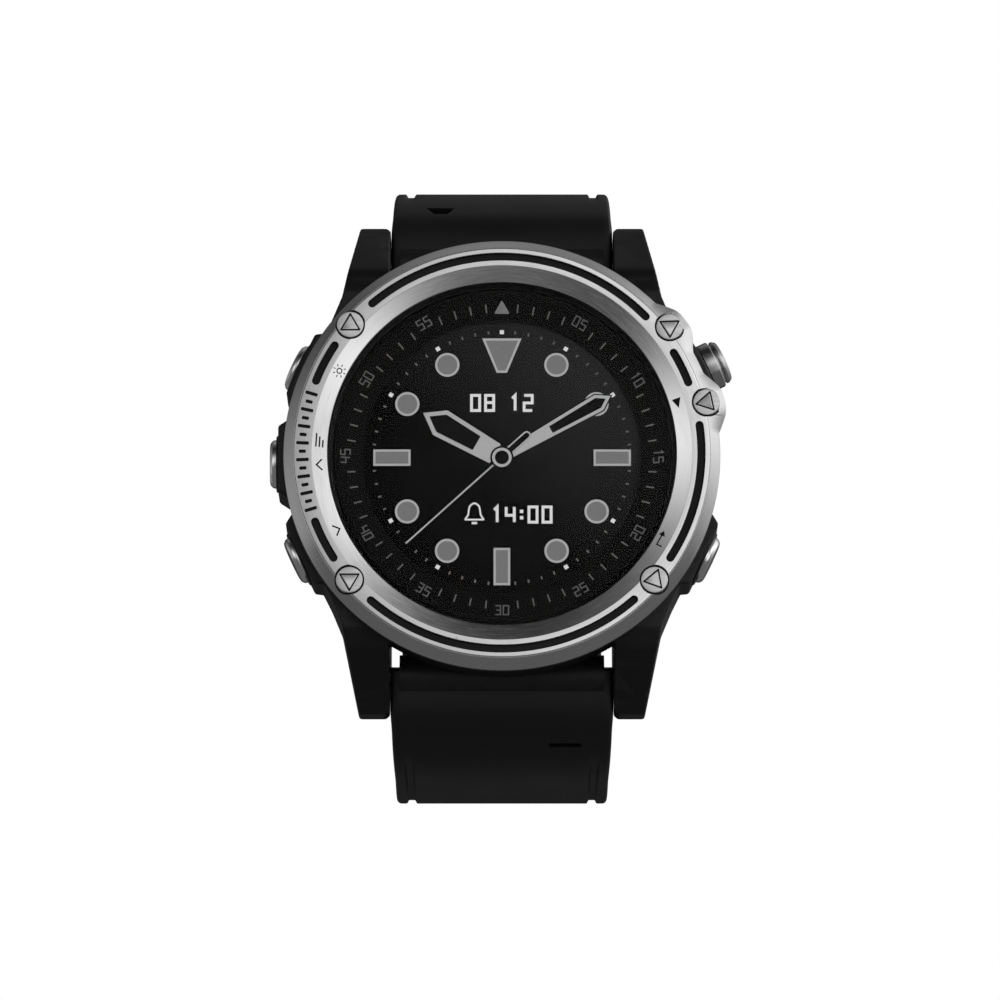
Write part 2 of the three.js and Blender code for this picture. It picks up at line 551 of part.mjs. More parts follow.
function buckleFrame() {
  const [inner, outer, corner] = [FRAME_INNER_X, FRAME_OUTER_X, FRAME_OUTER_X - 1.6];
  const outline = [
    [-outer, 1.8], [-outer, -11], [-corner, -FRAME_REACH], [corner, -FRAME_REACH], [outer, -11],
    [outer, 1.8], [inner, 1.8], [inner, -10], [-inner, -10], [-inner, 1.8],
  ];
  const frame = plate(shapeOf(outline), -FRAME_HALF_THICK, FRAME_HALF_THICK);
  return carve([frame], [buckleBore()]).translate(0, BUCKLE_Y, BUCKLE_Z);
}
place("buckle_frame", buckleFrame(), steel(...SATIN_STEEL));

const buckleBar = alongX(rod(BUCKLE_BAR_RADIUS, -15.3, 15.3)).translate(0, BUCKLE_Y, BUCKLE_Z);
place("buckle_bar", buckleBar, steel(0xa9abae, 0.3));

function buckleTang() {
  const tip = 0.2 - FRAME_REACH;
  const profile = [[0.6, -1.75], [tip, -2.9], [tip, -1.5], [-9, -1.5], [-1, -0.2]];
  const tongue = slab(profile, -TANG_HALF, TANG_HALF);
  const eye = alongX(rod(1.85, -TANG_HALF, TANG_HALF, 16));
  const bore = alongX(rod(BUCKLE_BAR_RADIUS + CLEAR, -FAR, FAR));
  return carve([tongue, eye], [bore]).translate(0, BUCKLE_Y, BUCKLE_Z);
}
place("buckle_tang", buckleTang(), steel(...SATIN_STEEL));

export default watch;
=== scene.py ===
"""Looks of the dive computer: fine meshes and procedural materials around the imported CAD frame.

Shapes are drawn in the watch's own axes, in millimetres: x to 3 o'clock, y to 12 o'clock and z out
of the dial from the sensor window. TO_ROW turns them into the frame's metres, dial facing -Y.
"""

import math

import bmesh
import bpy
from mathutils import Matrix, Vector


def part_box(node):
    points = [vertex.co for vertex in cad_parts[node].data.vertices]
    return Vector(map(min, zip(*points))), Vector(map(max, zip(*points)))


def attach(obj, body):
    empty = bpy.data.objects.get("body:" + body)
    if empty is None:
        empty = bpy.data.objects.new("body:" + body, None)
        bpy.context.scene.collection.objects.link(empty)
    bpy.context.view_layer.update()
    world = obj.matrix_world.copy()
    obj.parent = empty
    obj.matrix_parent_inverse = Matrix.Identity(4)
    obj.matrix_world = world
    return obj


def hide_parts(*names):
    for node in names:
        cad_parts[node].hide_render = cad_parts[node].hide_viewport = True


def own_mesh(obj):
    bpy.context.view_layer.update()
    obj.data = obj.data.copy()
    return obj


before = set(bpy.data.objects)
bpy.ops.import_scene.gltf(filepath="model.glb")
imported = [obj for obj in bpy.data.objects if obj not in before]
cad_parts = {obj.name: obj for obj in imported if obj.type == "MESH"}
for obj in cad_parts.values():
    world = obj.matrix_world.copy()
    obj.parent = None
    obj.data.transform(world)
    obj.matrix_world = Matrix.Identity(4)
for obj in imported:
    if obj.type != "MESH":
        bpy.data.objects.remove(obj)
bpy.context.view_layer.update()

MM = 0.001
TO_ROW = Matrix(((MM, 0, 0, 0), (0, 0, -MM, 0), (0, MM, 0, 0), (0, 0, 0, 1)))


def cad(node):
    """A CAD node's lowest and highest corners in the watch's axes, in millimetres."""
    low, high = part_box(node)
    return (Vector((low.x, low.z, -high.y)) / MM, Vector((high.x, high.z, -low.y)) / MM)


# ---- sizes, from the frame where it has them ----------------------------------------------------
LENS_TOP = cad("lens")[1].z
BEZEL_LOW, BEZEL_TOP = cad("bezel")[0].z, cad("bezel")[1].z
BEZEL_RADIUS = -cad("bezel")[0].x
DIAL_Z = cad("display_panel")[1].z
SCALE_Z = cad("scale_ring")[1].z
CASE_TOP = cad("case_body")[1].z
CASE_RADIUS = 25.2
CASE_FLOOR = 1.6
LENS_OPENING = 20.3
SLOPE_EDGE = (LENS_OPENING + 0.12, 16.74)      # radius and height of the polished slope's inner edge
SCREW_SEAT = 16.2                  # floor of the bezel's screw seats
SLOPE_RADIUS = 22.15               # where the polished slope meets the flat ring
FLAT_RADIUS = 24.25                # outer edge of the flat ring
LUG_BAR_Y = cad("lug_bar_12")[0].y + 1.1
LUG_BAR_Z = cad("lug_bar_12")[0].z + 1.1
LUG_INNER_X = 13.15
LUG_END = 29.2
LUG_BAR_BORE = 1.2
LUG_SCREW_HEAD = 1.6
THROUGH = 20                       # half length of a cutter that goes right through
STRAP_HALF_WIDTH = 12.95
BUCKLE_Y = (cad("buckle_bar")[0].y + cad("buckle_bar")[1].y) / 2
BUCKLE_Z = (cad("buckle_bar")[0].z + cad("buckle_bar")[1].z) / 2
BUTTON_Z = 9.4
SPRING_SEAT = 22.6                 # how far out the return springs stand
BUTTONS = {"start": 25.5, "light": 154.4, "up": 180.0, "down": 205.6, "back": -25.5}
GUARD_ANGLE = 25.5
BEZEL_SCREWS = {
    "bezel_screw_upper_left": (139.5, 23.3, 90),
    "bezel_screw_lower_left": (220.5, 23.3, -90),
    "bezel_screw_lower_right": (319.5, 23.3, 70),
    "guard_screw_upper": (37.2, 24.6, -88),
    "guard_screw_lower": (13.9, 24.6, 192),
}
SLOT_ARCS = [(43.7, 130.7), (20.7, 30.4), (-32.7, 7.8), (229.1, 311.3), (200.9, 212.7),
             (147.1, 158.8)]
SLOT_CIRCLE = 23.25
SLOT_WIDTH = 0.83
SLOT_FREE_MIDDLE = 179.9           # middle of the stretch of ring with engraved bars and no slot


def polar(radius, degrees):
    return (radius * math.cos(math.radians(degrees)), radius * math.sin(math.radians(degrees)))


# ---- materials ----------------------------------------------------------------------------------
class Paint:
    """A Principled material with small helpers for its procedural nodes."""

    def __init__(self, name, colour, roughness, metallic=0.0, **fixed):
        self.material = bpy.data.materials.new(name)
        self.material.use_nodes = True
        self.nodes = self.material.node_tree.nodes
        self.links = self.material.node_tree.links
        self.shader = self.nodes["Principled BSDF"]
        self.shader.inputs["Base Color"].default_value = (*colour, 1)
        self.shader.inputs["Roughness"].default_value = roughness
        self.shader.inputs["Metallic"].default_value = metallic
        for socket, value in fixed.items():
            self.shader.inputs[socket.replace("_", " ")].default_value = value
        self.material.diffuse_color = (*colour, 1)
        self.place = self.node("ShaderNodeTexCoord").outputs["Object"]

    def node(self, kind, **settings):
        made = self.nodes.new(kind)
        for key, value in settings.items():
            setattr(made, key, value)
        return made

    def noise(self, scale, detail=3.0, stretch=(1, 1, 1), where=None):
        """Noise with scale in features per metre, stretched along the row axes."""
        mapping = self.node("ShaderNodeMapping")
        mapping.inputs["Scale"].default_value = stretch
        self.links.new(where or self.place, mapping.inputs["Vector"])
        texture = self.node("ShaderNodeTexNoise")
        texture.inputs["Scale"].default_value = scale
        texture.inputs["Detail"].default_value = detail
        self.links.new(mapping.outputs["Vector"], texture.inputs["Vector"])
        return texture.outputs["Fac"]

    def math(self, operation, a, b=None):
        made = self.node("ShaderNodeMath", operation=operation)
        for socket, value in zip(made.inputs, (a, b)):
            if value is None:
                continue
            if isinstance(value, (int, float)):
                socket.default_value = value
            else:
                self.links.new(value, socket)
        return made.outputs[0]

    def spread(self, source, low, high, source_low=0.3, source_high=0.7):
        made = self.node("ShaderNodeMapRange")
        for key, value in (("From Min", source_low), ("From Max", source_high),
                           ("To Min", low), ("To Max", high)):
            made.inputs[key].default_value = value
        self.links.new(source, made.inputs["Value"])
        return made.outputs["Result"]

    def split(self):
        """The place in the row's axes as separate numbers."""
        made = self.node("ShaderNodeSeparateXYZ")
        self.links.new(self.place, made.inputs[0])
        return made.outputs

    def circles(self, centre, along, across):
        """Coordinates that follow circles about an axis along Y: a brushed or turned face."""
        place = self.split()
        x = self.math("SUBTRACT", place["X"], centre[0])
        z = self.math("SUBTRACT", place["Z"], centre[1])
        squares = self.math("ADD", self.math("MULTIPLY", x, x), self.math("MULTIPLY", z, z))
        radius = self.math("SQRT", squares)
        turn = self.math("ARCTAN2", z, x)
        join = self.node("ShaderNodeCombineXYZ")
        self.links.new(self.math("MULTIPLY", radius, across), join.inputs["X"])
        self.links.new(self.math("MULTIPLY", turn, along), join.inputs["Y"])
        self.links.new(self.math("MULTIPLY", place["Y"], across), join.inputs["Z"])
        return join.outputs[0]

    def colour(self, source, low, high):
        made = self.node("ShaderNodeMix", data_type="RGBA")
        made.inputs["A"].default_value = (*low, 1)
        made.inputs["B"].default_value = (*high, 1)
        self.links.new(source, made.inputs["Factor"])
        self.links.new(made.outputs["Result"], self.shader.inputs["Base Color"])

    def rough(self, source):
        self.links.new(source, self.shader.inputs["Roughness"])

    def bump(self, source, distance, strength=1.0):
        made = self.node("ShaderNodeBump")
        made.inputs["Distance"].default_value = distance
        made.inputs["Strength"].default_value = strength
        self.links.new(source, made.inputs["Height"])
        self.links.new(made.outputs["Normal"], self.shader.inputs["Normal"])

    def edge(self, low=0.52, high=0.62):
        """Rises from 0 to 1 on sharp outer edges, where handling wears the surface."""
        return self.spread(self.node("ShaderNodeNewGeometry").outputs["Pointiness"], 0, 1, low, high)


def brushed_steel(name, colour, roughness, streak=1.0, centre=(0, 0), grain=9000, painted_shade_left=1.0):
    """Steel with a circular brushed finish and faint smudges; an argument below 1 adds painted shade,
    darker to the left.
    """
    paint = Paint(name, colour, roughness, 1.0)
    lines = paint.noise(1.0, 2.0, where=paint.circles(centre, 9.0, grain))
    smudge = paint.noise(160, 4.0)
    dark = tuple(c * 0.86 for c in colour)
    both = paint.math("ADD", lines, paint.math("MULTIPLY", smudge, 0.6))
    tone = paint.spread(both, 0, 1, 0.5, 1.1)
    # painted shade: a ramp along x darkens the steel towards the left
    if painted_shade_left < 1:
        side = paint.math("MULTIPLY", paint.spread(paint.split()["X"], 0, 1, -0.022, 0.008), 0.75)
        tone = paint.math("ADD", paint.math("MULTIPLY", tone, 0.25), side)
        dark = tuple(c * painted_shade_left for c in colour)
    paint.colour(tone, dark, colour)
    paint.rough(paint.math("ADD", paint.spread(lines, roughness - 0.05, roughness + 0.07),
                           paint.spread(smudge, -0.02, 0.04)))
    paint.bump(lines, 0.000004 * streak, 0.5)
    return paint.material


def plain_steel(name, colour, roughness):
    """Machined steel: fine lines one way and a soft mottle."""
    paint = Paint(name, colour, roughness, 1.0)
    lines = paint.noise(3500, 2.0, stretch=(0.12, 1, 1))
    paint.colour(paint.spread(paint.noise(300), 0, 1), tuple(c * 0.88 for c in colour), colour)
    paint.rough(paint.spread(lines, roughness - 0.05, roughness + 0.07))
    paint.bump(lines, 0.000002, 0.3)
    return paint.material


def moulded(name, colour, worn, roughness, grain_depth, grain=5200):
    """Moulded polymer or rubber: an eroded grain, soft patches of sheen and scuffed outer edges."""
    paint = Paint(name, colour, roughness, Specular_IOR_Level=0.3)
    fine = paint.noise(grain, 4.0)
    patch = paint.noise(90, 3.0)
    scuffs = paint.spread(paint.noise(700, 3.0), 0.1, 0.7)
    paint.colour(paint.math("MULTIPLY", paint.edge(), scuffs), colour, worn)
    paint.rough(paint.math("ADD", paint.spread(fine, roughness - 0.05, roughness + 0.05),
                           paint.spread(patch, -0.05, 0.05)))
    paint.bump(fine, grain_depth, 0.6)
    return paint.material


def speckled(name, colour, other, roughness, scale=1500, metallic=0.0):
    paint = Paint(name, colour, roughness, metallic)
    spots = paint.noise(scale, 3.0)
    paint.colour(paint.spread(spots, 0, 1, 0.4, 0.62), colour, other)
    paint.rough(paint.spread(paint.noise(400), roughness - 0.05, roughness + 0.08))
    paint.bump(spots, 0.000004, 0.3)
    return paint.material


def clear_lens():
    """Domed crystal with a few faint smears."""
    paint = Paint("lens_crystal", (1, 1, 1), 0.0, Transmission_Weight=1.0, IOR=1.12)
    paint.rough(paint.spread(paint.noise(45, 5.0), 0.0, 0.012, 0.55, 0.75))
    paint.bump(paint.noise(30, 1.0), 0.000002, 0.2)
    return paint.material


def printed(name, shade, glow=0.0):
    """Pad-printed ink or a mark of the display, a little uneven in cover; its glow is a painted glow
    that brightens the mark.
    """
    # painted glow: the emission lights up marks that give no light of their own
    paint = Paint(name, (shade,) * 3, 0.6, Specular_IOR_Level=0.1, Emission_Color=(1, 1, 1, 1),
                  Emission_Strength=glow)
    cover = paint.noise(5000, 2.0)
    paint.colour(paint.spread(cover, 0, 1), (shade * 0.9,) * 3, (shade * 1.06,) * 3)
    paint.bump(cover, 0.000002, 0.3)
    return paint.material


def display_black():
    """The reflective display: near black, with a painted reflection, a soft lift of grey towards the
    upper right.
    """
    paint = Paint("display_black", (0.004, 0.004, 0.005), 0.4, Specular_IOR_Level=0.02)
    place = paint.split()
    # painted reflection: the grey rises towards the upper right of the display
    painted_reflection = paint.math("ADD", place["X"], paint.math("MULTIPLY", place["Z"], 1.15))
    pixels = paint.node("ShaderNodeTexVoronoi")
    pixels.inputs["Scale"].default_value = 6000
    paint.links.new(paint.place, pixels.inputs["Vector"])
    soft = paint.spread(painted_reflection, 0, 1, -0.006, 0.030)
    paint.colour(paint.math("MULTIPLY", soft, paint.spread(pixels.outputs["Distance"], 0.9, 1.0, 0, 1)),
                 (0.0006, 0.0006, 0.0007), (0.05, 0.05, 0.052))
    return paint.material


def grey(level):
    return (level,) * 3


# the flat ring's steel carries painted shade on its left side
STEEL_FLAT = brushed_steel("steel_brushed_flat", grey(0.80), 0.24, 1.6, painted_shade_left=0.55)
STEEL_SLOPE = brushed_steel("steel_polished_slope", grey(0.83), 0.15, 0.5, grain=5000)
STEEL_OUTER = brushed_steel("steel_brushed_outer", grey(0.62), 0.24, 1.2)
STEEL_SCREW = plain_steel("steel_screw", grey(0.60), 0.28)
STEEL_BUTTON = plain_steel("steel_button", grey(0.84), 0.16)
STEEL_START = plain_steel("steel_start_button", grey(0.5), 0.22)
STEEL_COVER = brushed_steel("steel_cover", (0.50, 0.50, 0.51), 0.34, 1.6)
STEEL_BUCKLE = plain_steel("steel_buckle", (0.58, 0.58, 0.59), 0.24)
STEEL_INNER = plain_steel("steel_inner", (0.40, 0.40, 0.41), 0.35)
POLYMER = moulded("case_polymer_black", (0.0055, 0.0055, 0.006), (0.03, 0.03, 0.031), 0.42, 0.00001)
SILICONE = moulded("silicone_black_matt", (0.0065, 0.0065, 0.007), (0.02, 0.02, 0.021), 0.46,
                   0.000006, 7000)
RUBBER = moulded("rubber_seal", grey(0.006), grey(0.02), 0.6, 0.000006)
# painted shade: a darker grey for the groove round a screw's triangle
GROOVE_PAINTED_SHADE = moulded("groove_painted_shade", grey(0.02), grey(0.035), 0.5, 0.000003)
# black for the slots and engraved marks, and painted shade in the screw seats
SLOT_BLACK_AND_PAINTED_SEAT_SHADE = moulded("slot_black_and_painted_seat_shade", grey(0.003), grey(0.006), 0.55, 0.000003)
LENS = clear_lens()
DISPLAY = display_black()
# the second number of each ink below is its painted glow
INK_SCALE = printed("ink_scale", 0.16, 0.02)
INK_TICK = printed("ink_tick", 0.15, 0.02)
INK_RIM = printed("ink_rim", 0.45, 0.2)
INK_FILL = printed("ink_fill", 0.2, 0.085)
INK_TEXT = printed("ink_text", 0.62, 0.42)
INK_LABEL = printed("ink_label", 0.012)
DIAL_EDGE = printed("dial_edge_black", 0.0012)
BOARD = speckled("board_green", (0.012, 0.09, 0.04), (0.02, 0.13, 0.06), 0.4)
FOIL = speckled("battery_foil", (0.42, 0.43, 0.45), (0.5, 0.51, 0.53), 0.38, 900, 1.0)
WINDOW = speckled("window_smoked", (0.006, 0.006, 0.008), (0.009, 0.009, 0.012), 0.08, 600)
SENSOR_INK = printed("sensor_ink", 0.09)
GOLD = speckled("contact_gold", (0.78, 0.56, 0.22), (0.85, 0.64, 0.3), 0.25, 900, 1.0)


# ---- mesh tools ---------------------------------------------------------------------------------
def raw(name, vertices, faces):
    mesh = bpy.data.meshes.new(name)
    mesh.from_pydata([tuple(v) for v in vertices], [], faces)
    tool = bmesh.new()
    tool.from_mesh(mesh)
    bmesh.ops.remove_doubles(tool, verts=tool.verts, dist=1e-5)
    bmesh.ops.recalc_face_normals(tool, faces=tool.faces)
    tool.to_mesh(mesh)
    tool.free()
    made = bpy.data.objects.new(name, mesh)
    bpy.context.scene.collection.objects.link(made)
    return made


def settle(item):
    """Applies an object's modifiers to its mesh."""
    shown = item.evaluated_get(bpy.context.evaluated_depsgraph_get())
    item.data = bpy.data.meshes.new_from_object(shown)
    item.modifiers.clear()
    return item


def combine(name, items):
    """One object from several, kept as they are."""
    tool = bmesh.new()
    for item in items:
        item.data.transform(item.matrix_world)
        tool.from_mesh(item.data)
        bpy.data.objects.remove(item)
    mesh = bpy.data.meshes.new(name)
    tool.to_mesh(mesh)
    tool.free()
    made = bpy.data.objects.new(name, mesh)
    bpy.context.scene.collection.objects.link(made)
    return made


def boolean(item, others, operation="DIFFERENCE"):
    """Joins or cuts an object with others, one after another, and removes them."""
    for other in others:
        step = item.modifiers.new("step", "BOOLEAN")
        step.operation = operation
        step.solver = "EXACT"
        step.object = other
    settle(item)
    for other in others:
        bpy.data.objects.remove(other)
    return item


def bevelled(item, width, segments=2, angle=30):
    step = item.modifiers.new("edge", "BEVEL")
    step.width = width
    step.segments = segments
    step.limit_method = "ANGLE"
    step.angle_limit = math.radians(angle)
    step.use_clamp_overlap = True
    return settle(item)


def triangulated(item):
    tool = bmesh.new()
    tool.from_mesh(item.data)
    bmesh.ops.triangulate(tool, faces=tool.faces)
    tool.to_mesh(item.data)
    tool.free()
    return item


def remeshed(item, voxel, rounds=4, keep=0.3):
    """Melts a solid's parts together with small fillets, as a mould leaves them."""
    step = item.modifiers.new("melt", "REMESH")
    step.mode = "VOXEL"
    step.voxel_size = voxel
    soft = item.modifiers.new("soften", "SMOOTH")
    soft.factor = 0.5
    soft.iterations = rounds
    thin = item.modifiers.new("thin", "DECIMATE")
    thin.ratio = keep
    return settle(item)


def fillet(points, radius, closed=True, steps=4):
    """Rounds the corners of an outline. radius is one number or one for each point."""
    count = len(points)
    radii = radius if isinstance(radius, (list, tuple)) else [radius] * count
    out = []
    for index, point in enumerate(points):
        here = Vector(point)
        if radii[index] <= 0 or (not closed and index in (0, count - 1)):
            out.append(tuple(here))
            continue
        before = Vector(points[index - 1]) - here
        after = Vector(points[(index + 1) % count]) - here
        angle = before.angle(after)
        if angle > math.radians(178):
            out.append(tuple(here))
            continue
        reach = min(radii[index] / math.tan(angle / 2), before.length * 0.48, after.length * 0.48)
        start, end = here + before.normalized() * reach, here + after.normalized() * reach
        for step in range(steps + 1):
            t = step / steps
            out.append(tuple(start * (1 - t) ** 2 + here * (2 * t * (1 - t)) + end * t ** 2))
    return out


def lathe(name, profile, steps=128, closed=False):
    """A solid of revolution about z. closed profiles are rings; open ones start and end on the axis."""
    vertices, rows = [], []
    for radius, height in profile:
        if radius < 1e-6:
            rows.append([len(vertices)] * steps)
            vertices.append((0, 0, height))
            continue
        rows.append(range(len(vertices), len(vertices) + steps))
        for step in range(steps):
            x, y = polar(radius, 360 * step / steps)
            vertices.append((x, y, height))
    faces = []
    pairs = list(zip(rows, rows[1:])) + ([(rows[-1], rows[0])] if closed else [])
    for low, high in pairs:
        for step in range(steps):
            after = (step + 1) % steps
            corners = [low[step], low[after], high[after], high[step]]
            faces.append([c for i, c in enumerate(corners) if c not in corners[:i]])
    return raw(name, vertices, [f for f in faces if len(f) > 2])


def stacked(name, loops, closed_ends=True, wrap=False):
    """A skin over loops of equally many points, capped at both ends."""
    count = len(loops[0])
    vertices = [point for loop in loops for point in loop]
    faces = []
    pairs = [(i, i + 1) for i in range(len(loops) - 1)] + ([(len(loops) - 1, 0)] if wrap else [])
    for a, b in pairs:
        for step in range(count):
            after = (step + 1) % count
            faces.append([a * count + step, a * count + after, b * count + after, b * count + step])
    if closed_ends and not wrap:
        faces.append(list(range(count))[::-1])
        faces.append([(len(loops) - 1) * count + step for step in range(count)])
    return raw(name, vertices, faces)


def prism(name, outline, low, high):
    """A flat outline in x and y, made thick along z."""
    return stacked(name, [[(x, y, low) for x, y in outline], [(x, y, high) for x, y in outline]])


def side_prism(name, outline, low, high):
    """An outline in y and z, made thick along x."""
    return stacked(name, [[(low, y, z) for y, z in outline], [(high, y, z) for y, z in outline]])


def block(name, x0, x1, y0, y1, z0, z1):
    return prism(name, rectangle(x0, x1, y0, y1), z0, z1)


def rod(name, radius, low, high, steps=48):
    return lathe(name, [(0, low), (radius, low), (radius, high), (0, high)], steps)


def rectangle(x0, x1, y0, y1):
    return [(x0, y0), (x1, y0), (x1, y1), (x0, y1)]


def moved(item, matrix):
    item.data.transform(matrix)
    return item


def shifted(item, x, y, z):
    return moved(item, Matrix.Translation((x, y, z)))


def turn_z(degrees):
    return Matrix.Rotation(math.radians(degrees), 4, "Z")


def outward(item, degrees):
    """Turns a shape drawn about z so that its z runs outwards at a button's place."""
    a = math.radians(degrees)
    turn = Matrix(((-math.sin(a), 0, math.cos(a), 0), (math.cos(a), 0, math.sin(a), 0),
                   (0, 1, 0, BUTTON_Z), (0, 0, 0, 1)))
    return moved(item, turn)


ALONG_X = Matrix(((0, 0, 1, 0), (1, 0, 0, 0), (0, 1, 0, 0), (0, 0, 0, 1)))


def at_lug_bar(up):
    """The middle of the lug bar on the 12 o'clock side (up 1) or the 6 o'clock side (up -1)."""
    return Matrix.Translation((0, up * LUG_BAR_Y, LUG_BAR_Z))


def across_rod(radius, low, high, y, z, steps=48):
    return moved(rod("rod", radius, low, high, steps), Matrix.Translation((0, y, z)) @ ALONG_X)


def finish_piece(item, name, body, material, nodes=(), angle=32, extra=()):
    item.name = name
    item.data.name = name
    item.data.transform(TO_ROW)
    item.data.materials.clear()
    for paint in (material, *extra):
        item.data.materials.append(paint)
    for polygon in item.data.polygons:
        polygon.use_smooth = True
    item.data.set_sharp_from_angle(angle=math.radians(angle))
    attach(item, body)
    if nodes:
        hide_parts(*nodes)
    return item


# ---- stage, lights and camera -------------------------------------------------------------------
CAMERA_TILT = 10.82                # degrees below the dial's normal, on the 6 o'clock side
CAMERA_DISTANCE = 931.9
CAMERA_LENS = 285.5
CAMERA_TARGET_Z = 9.0
CAMERA_SHIFT = (-0.00187, -0.03491)
FLOOR_Z = -0.26
FLOOR_SIZE = (1.8, 0.9, 1)
# Soft lights of the studio: where each stands in the watch's axes, how narrow it is, how bright.
SOFT_LIGHTS = [
    ((-0.70, 0.13, 0.71), 20, 1.08),
    ((0.72, 0.49, 0.50), 20, 0.87),
    ((0.66, -0.26, 0.71), 20, 0.85),
    ((0.13, 0.22, 0.97), 20, 1.0),
    ((0.50, 0.0, 0.87), 8, 0.42),
    ((0.83, 0.40, -0.40), 8, 1.35),
    ((0.88, 0.40, 0.26), 10, 0.85),
    ((-0.70, -0.67, -0.26), 6, 0.43),
    ((0.33, -0.91, -0.26), 6, 0.37),
    ((-0.90, 0.05, -0.35), 8, 0.34),
    ((-0.10, 0.88, -0.45), 14, 0.30),
    ((-0.19, -0.68, 0.71), 20, 0.14),
    ((-0.43, 0.56, 0.71), 20, 0.08),
]
ROOM_LEVEL = 0.01


def stage():
    bpy.ops.mesh.primitive_plane_add(size=1, location=(0, 0, FLOOR_Z))
    floor = bpy.context.object
    floor.name = "floor"
    floor.scale = FLOOR_SIZE
    paint = Paint("floor_pale", (0.4, 0.4, 0.4), 0.8)
    bright = paint.node("ShaderNodeEmission")
    bright.inputs["Strength"].default_value = 1.0
    choice = paint.node("ShaderNodeMixShader")
    paint.links.new(paint.node("ShaderNodeLightPath").outputs["Is Camera Ray"], choice.inputs["Fac"])
    paint.links.new(paint.shader.outputs[0], choice.inputs[1])
    paint.links.new(bright.outputs[0], choice.inputs[2])
    paint.links.new(choice.outputs[0], paint.nodes["Material Output"].inputs["Surface"])
    floor.data.materials.append(paint.material)

    camera_data = bpy.data.cameras.new("camera")
    camera_data.lens = CAMERA_LENS
    camera_data.sensor_width = 36
    camera_data.shift_x, camera_data.shift_y = CAMERA_SHIFT
    camera_data.clip_end = 50
    camera = bpy.data.objects.new("camera", camera_data)
    bpy.context.scene.collection.objects.link(camera)
    tilt = math.radians(CAMERA_TILT)
    target = Vector((0, -CAMERA_TARGET_Z * MM, 0))
    back = Vector((0, -math.cos(tilt), -math.sin(tilt)))
    camera.location = target + back * CAMERA_DISTANCE * MM
    camera.rotation_euler = (-back).to_track_quat("-Z", "Y").to_euler()
    bpy.context.scene.camera = camera

    world = bpy.data.worlds.new("studio")
    world.use_nodes = True
    nodes, links = world.node_tree.nodes, world.node_tree.links
    toward = nodes.new("ShaderNodeTexCoord").outputs["Generated"]

    def result(a, operation, b=None):
        made = nodes.new("ShaderNodeMath")
        made.operation = operation
        for socket, value in zip(made.inputs, (a, b)):
            if isinstance(value, (int, float)):
                socket.default_value = value
            elif value is not None:
                links.new(value, socket)
        return made.outputs[0]

    total = None
    for (x, y, z), narrow, strength in SOFT_LIGHTS:
        dot = nodes.new("ShaderNodeVectorMath")
        dot.operation = "DOT_PRODUCT"
        links.new(toward, dot.inputs[0])
        dot.inputs[1].default_value = Vector((x, -z, y)).normalized()
        off = result(result(dot.outputs["Value"], "SUBTRACT", 1), "MULTIPLY", narrow)
        glow = result(result(off, "EXPONENT"), "MULTIPLY", strength)
        total = glow if total is None else result(total, "ADD", glow)
    room = nodes["Background"]
    room.inputs["Color"].default_value = (1, 1, 1, 1)
    links.new(result(total, "ADD", ROOM_LEVEL), room.inputs["Strength"])
    seen = nodes.new("ShaderNodeBackground")
    seen.inputs["Color"].default_value = (1, 1, 1, 1)
    path = nodes.new("ShaderNodeLightPath")
    mix = nodes.new("ShaderNodeMixShader")
    links.new(path.outputs["Is Camera Ray"], mix.inputs["Fac"])
    links.new(room.outputs[0], mix.inputs[1])
    links.new(seen.outputs[0], mix.inputs[2])
    links.new(mix.outputs[0], nodes["World Output"].inputs["Surface"])
    bpy.context.scene.world = world
    bpy.context.scene.view_settings.view_transform = "Standard"


stage()


# ---- case ---------------------------------------------------------------------------------------
LUG_TOP = 13.3
BOSS_HALF, START_BOSS_HALF = 3.9, 3.4          # half widths of the flat seats behind the buttons
BOSS_FACE = 26.2
CAVITY_RADIUS, CAVITY_TOP = 20.4, 13.65
COVER_SEAT_RADIUS = 19.7
STEM_BORE, CAP_BORE = 1.1, 3.0


def lug_shapes():
    plan = fillet([(LUG_INNER_X, 12), (22.2, 12), (20.0, 16.4), (18.75, 19.4), (16.75, LUG_END),
                   (13.6, LUG_END), (LUG_INNER_X, 28.7)], [0, 0, 2, 2, 0.35, 0.3, 0.3])
    side = fillet([(8, CASE_FLOOR), (21.5, CASE_FLOOR), (26.5, 1.2), (28.5, 1.4), (LUG_END, 2.2),
                   (LUG_END, 5.7), (28.6, 6.4), (25.6, 9.4), (22.6, 12.4), (20, LUG_TOP), (8, LUG_TOP)],
                  [0, 1, 3, 0.4, 0.4, 0.3, 0.6, 4, 3, 2, 0])
    lugs = []
    for across in (1, -1):
        for up in (1, -1):
            outline = [(across * x, up * y) for x, y in plan]
            profile = [(up * y, z) for y, z in side]
            lug = prism("lug", outline, -1, 20)
            boolean(lug, [side_prism("lug_side", profile, -30, 30)], "INTERSECT")
            lugs.append(lug)
    return lugs


def button_boss(name, angle):
    half = START_BOSS_HALF if name == "start" else BOSS_HALF
    plan = fillet([(22.5, -half - 0.9), (24.8, -half - 0.9), (BOSS_FACE, -half), (BOSS_FACE, half),
                   (24.8, half + 0.9), (22.5, half + 0.9)], [0, 0.4, 0.4, 0.4, 0.4, 0])
    return moved(prism("boss", plan, 5.4, 13.2), turn_z(angle))


def guard_pad():
    outer = [polar(BOSS_FACE, GUARD_ANGLE + turn) for turn in range(-15, 16, 3)]
    inner = [polar(23, GUARD_ANGLE + turn) for turn in range(17, -18, -4)]
    return prism("pad", outer + inner, 10.2, CASE_TOP)


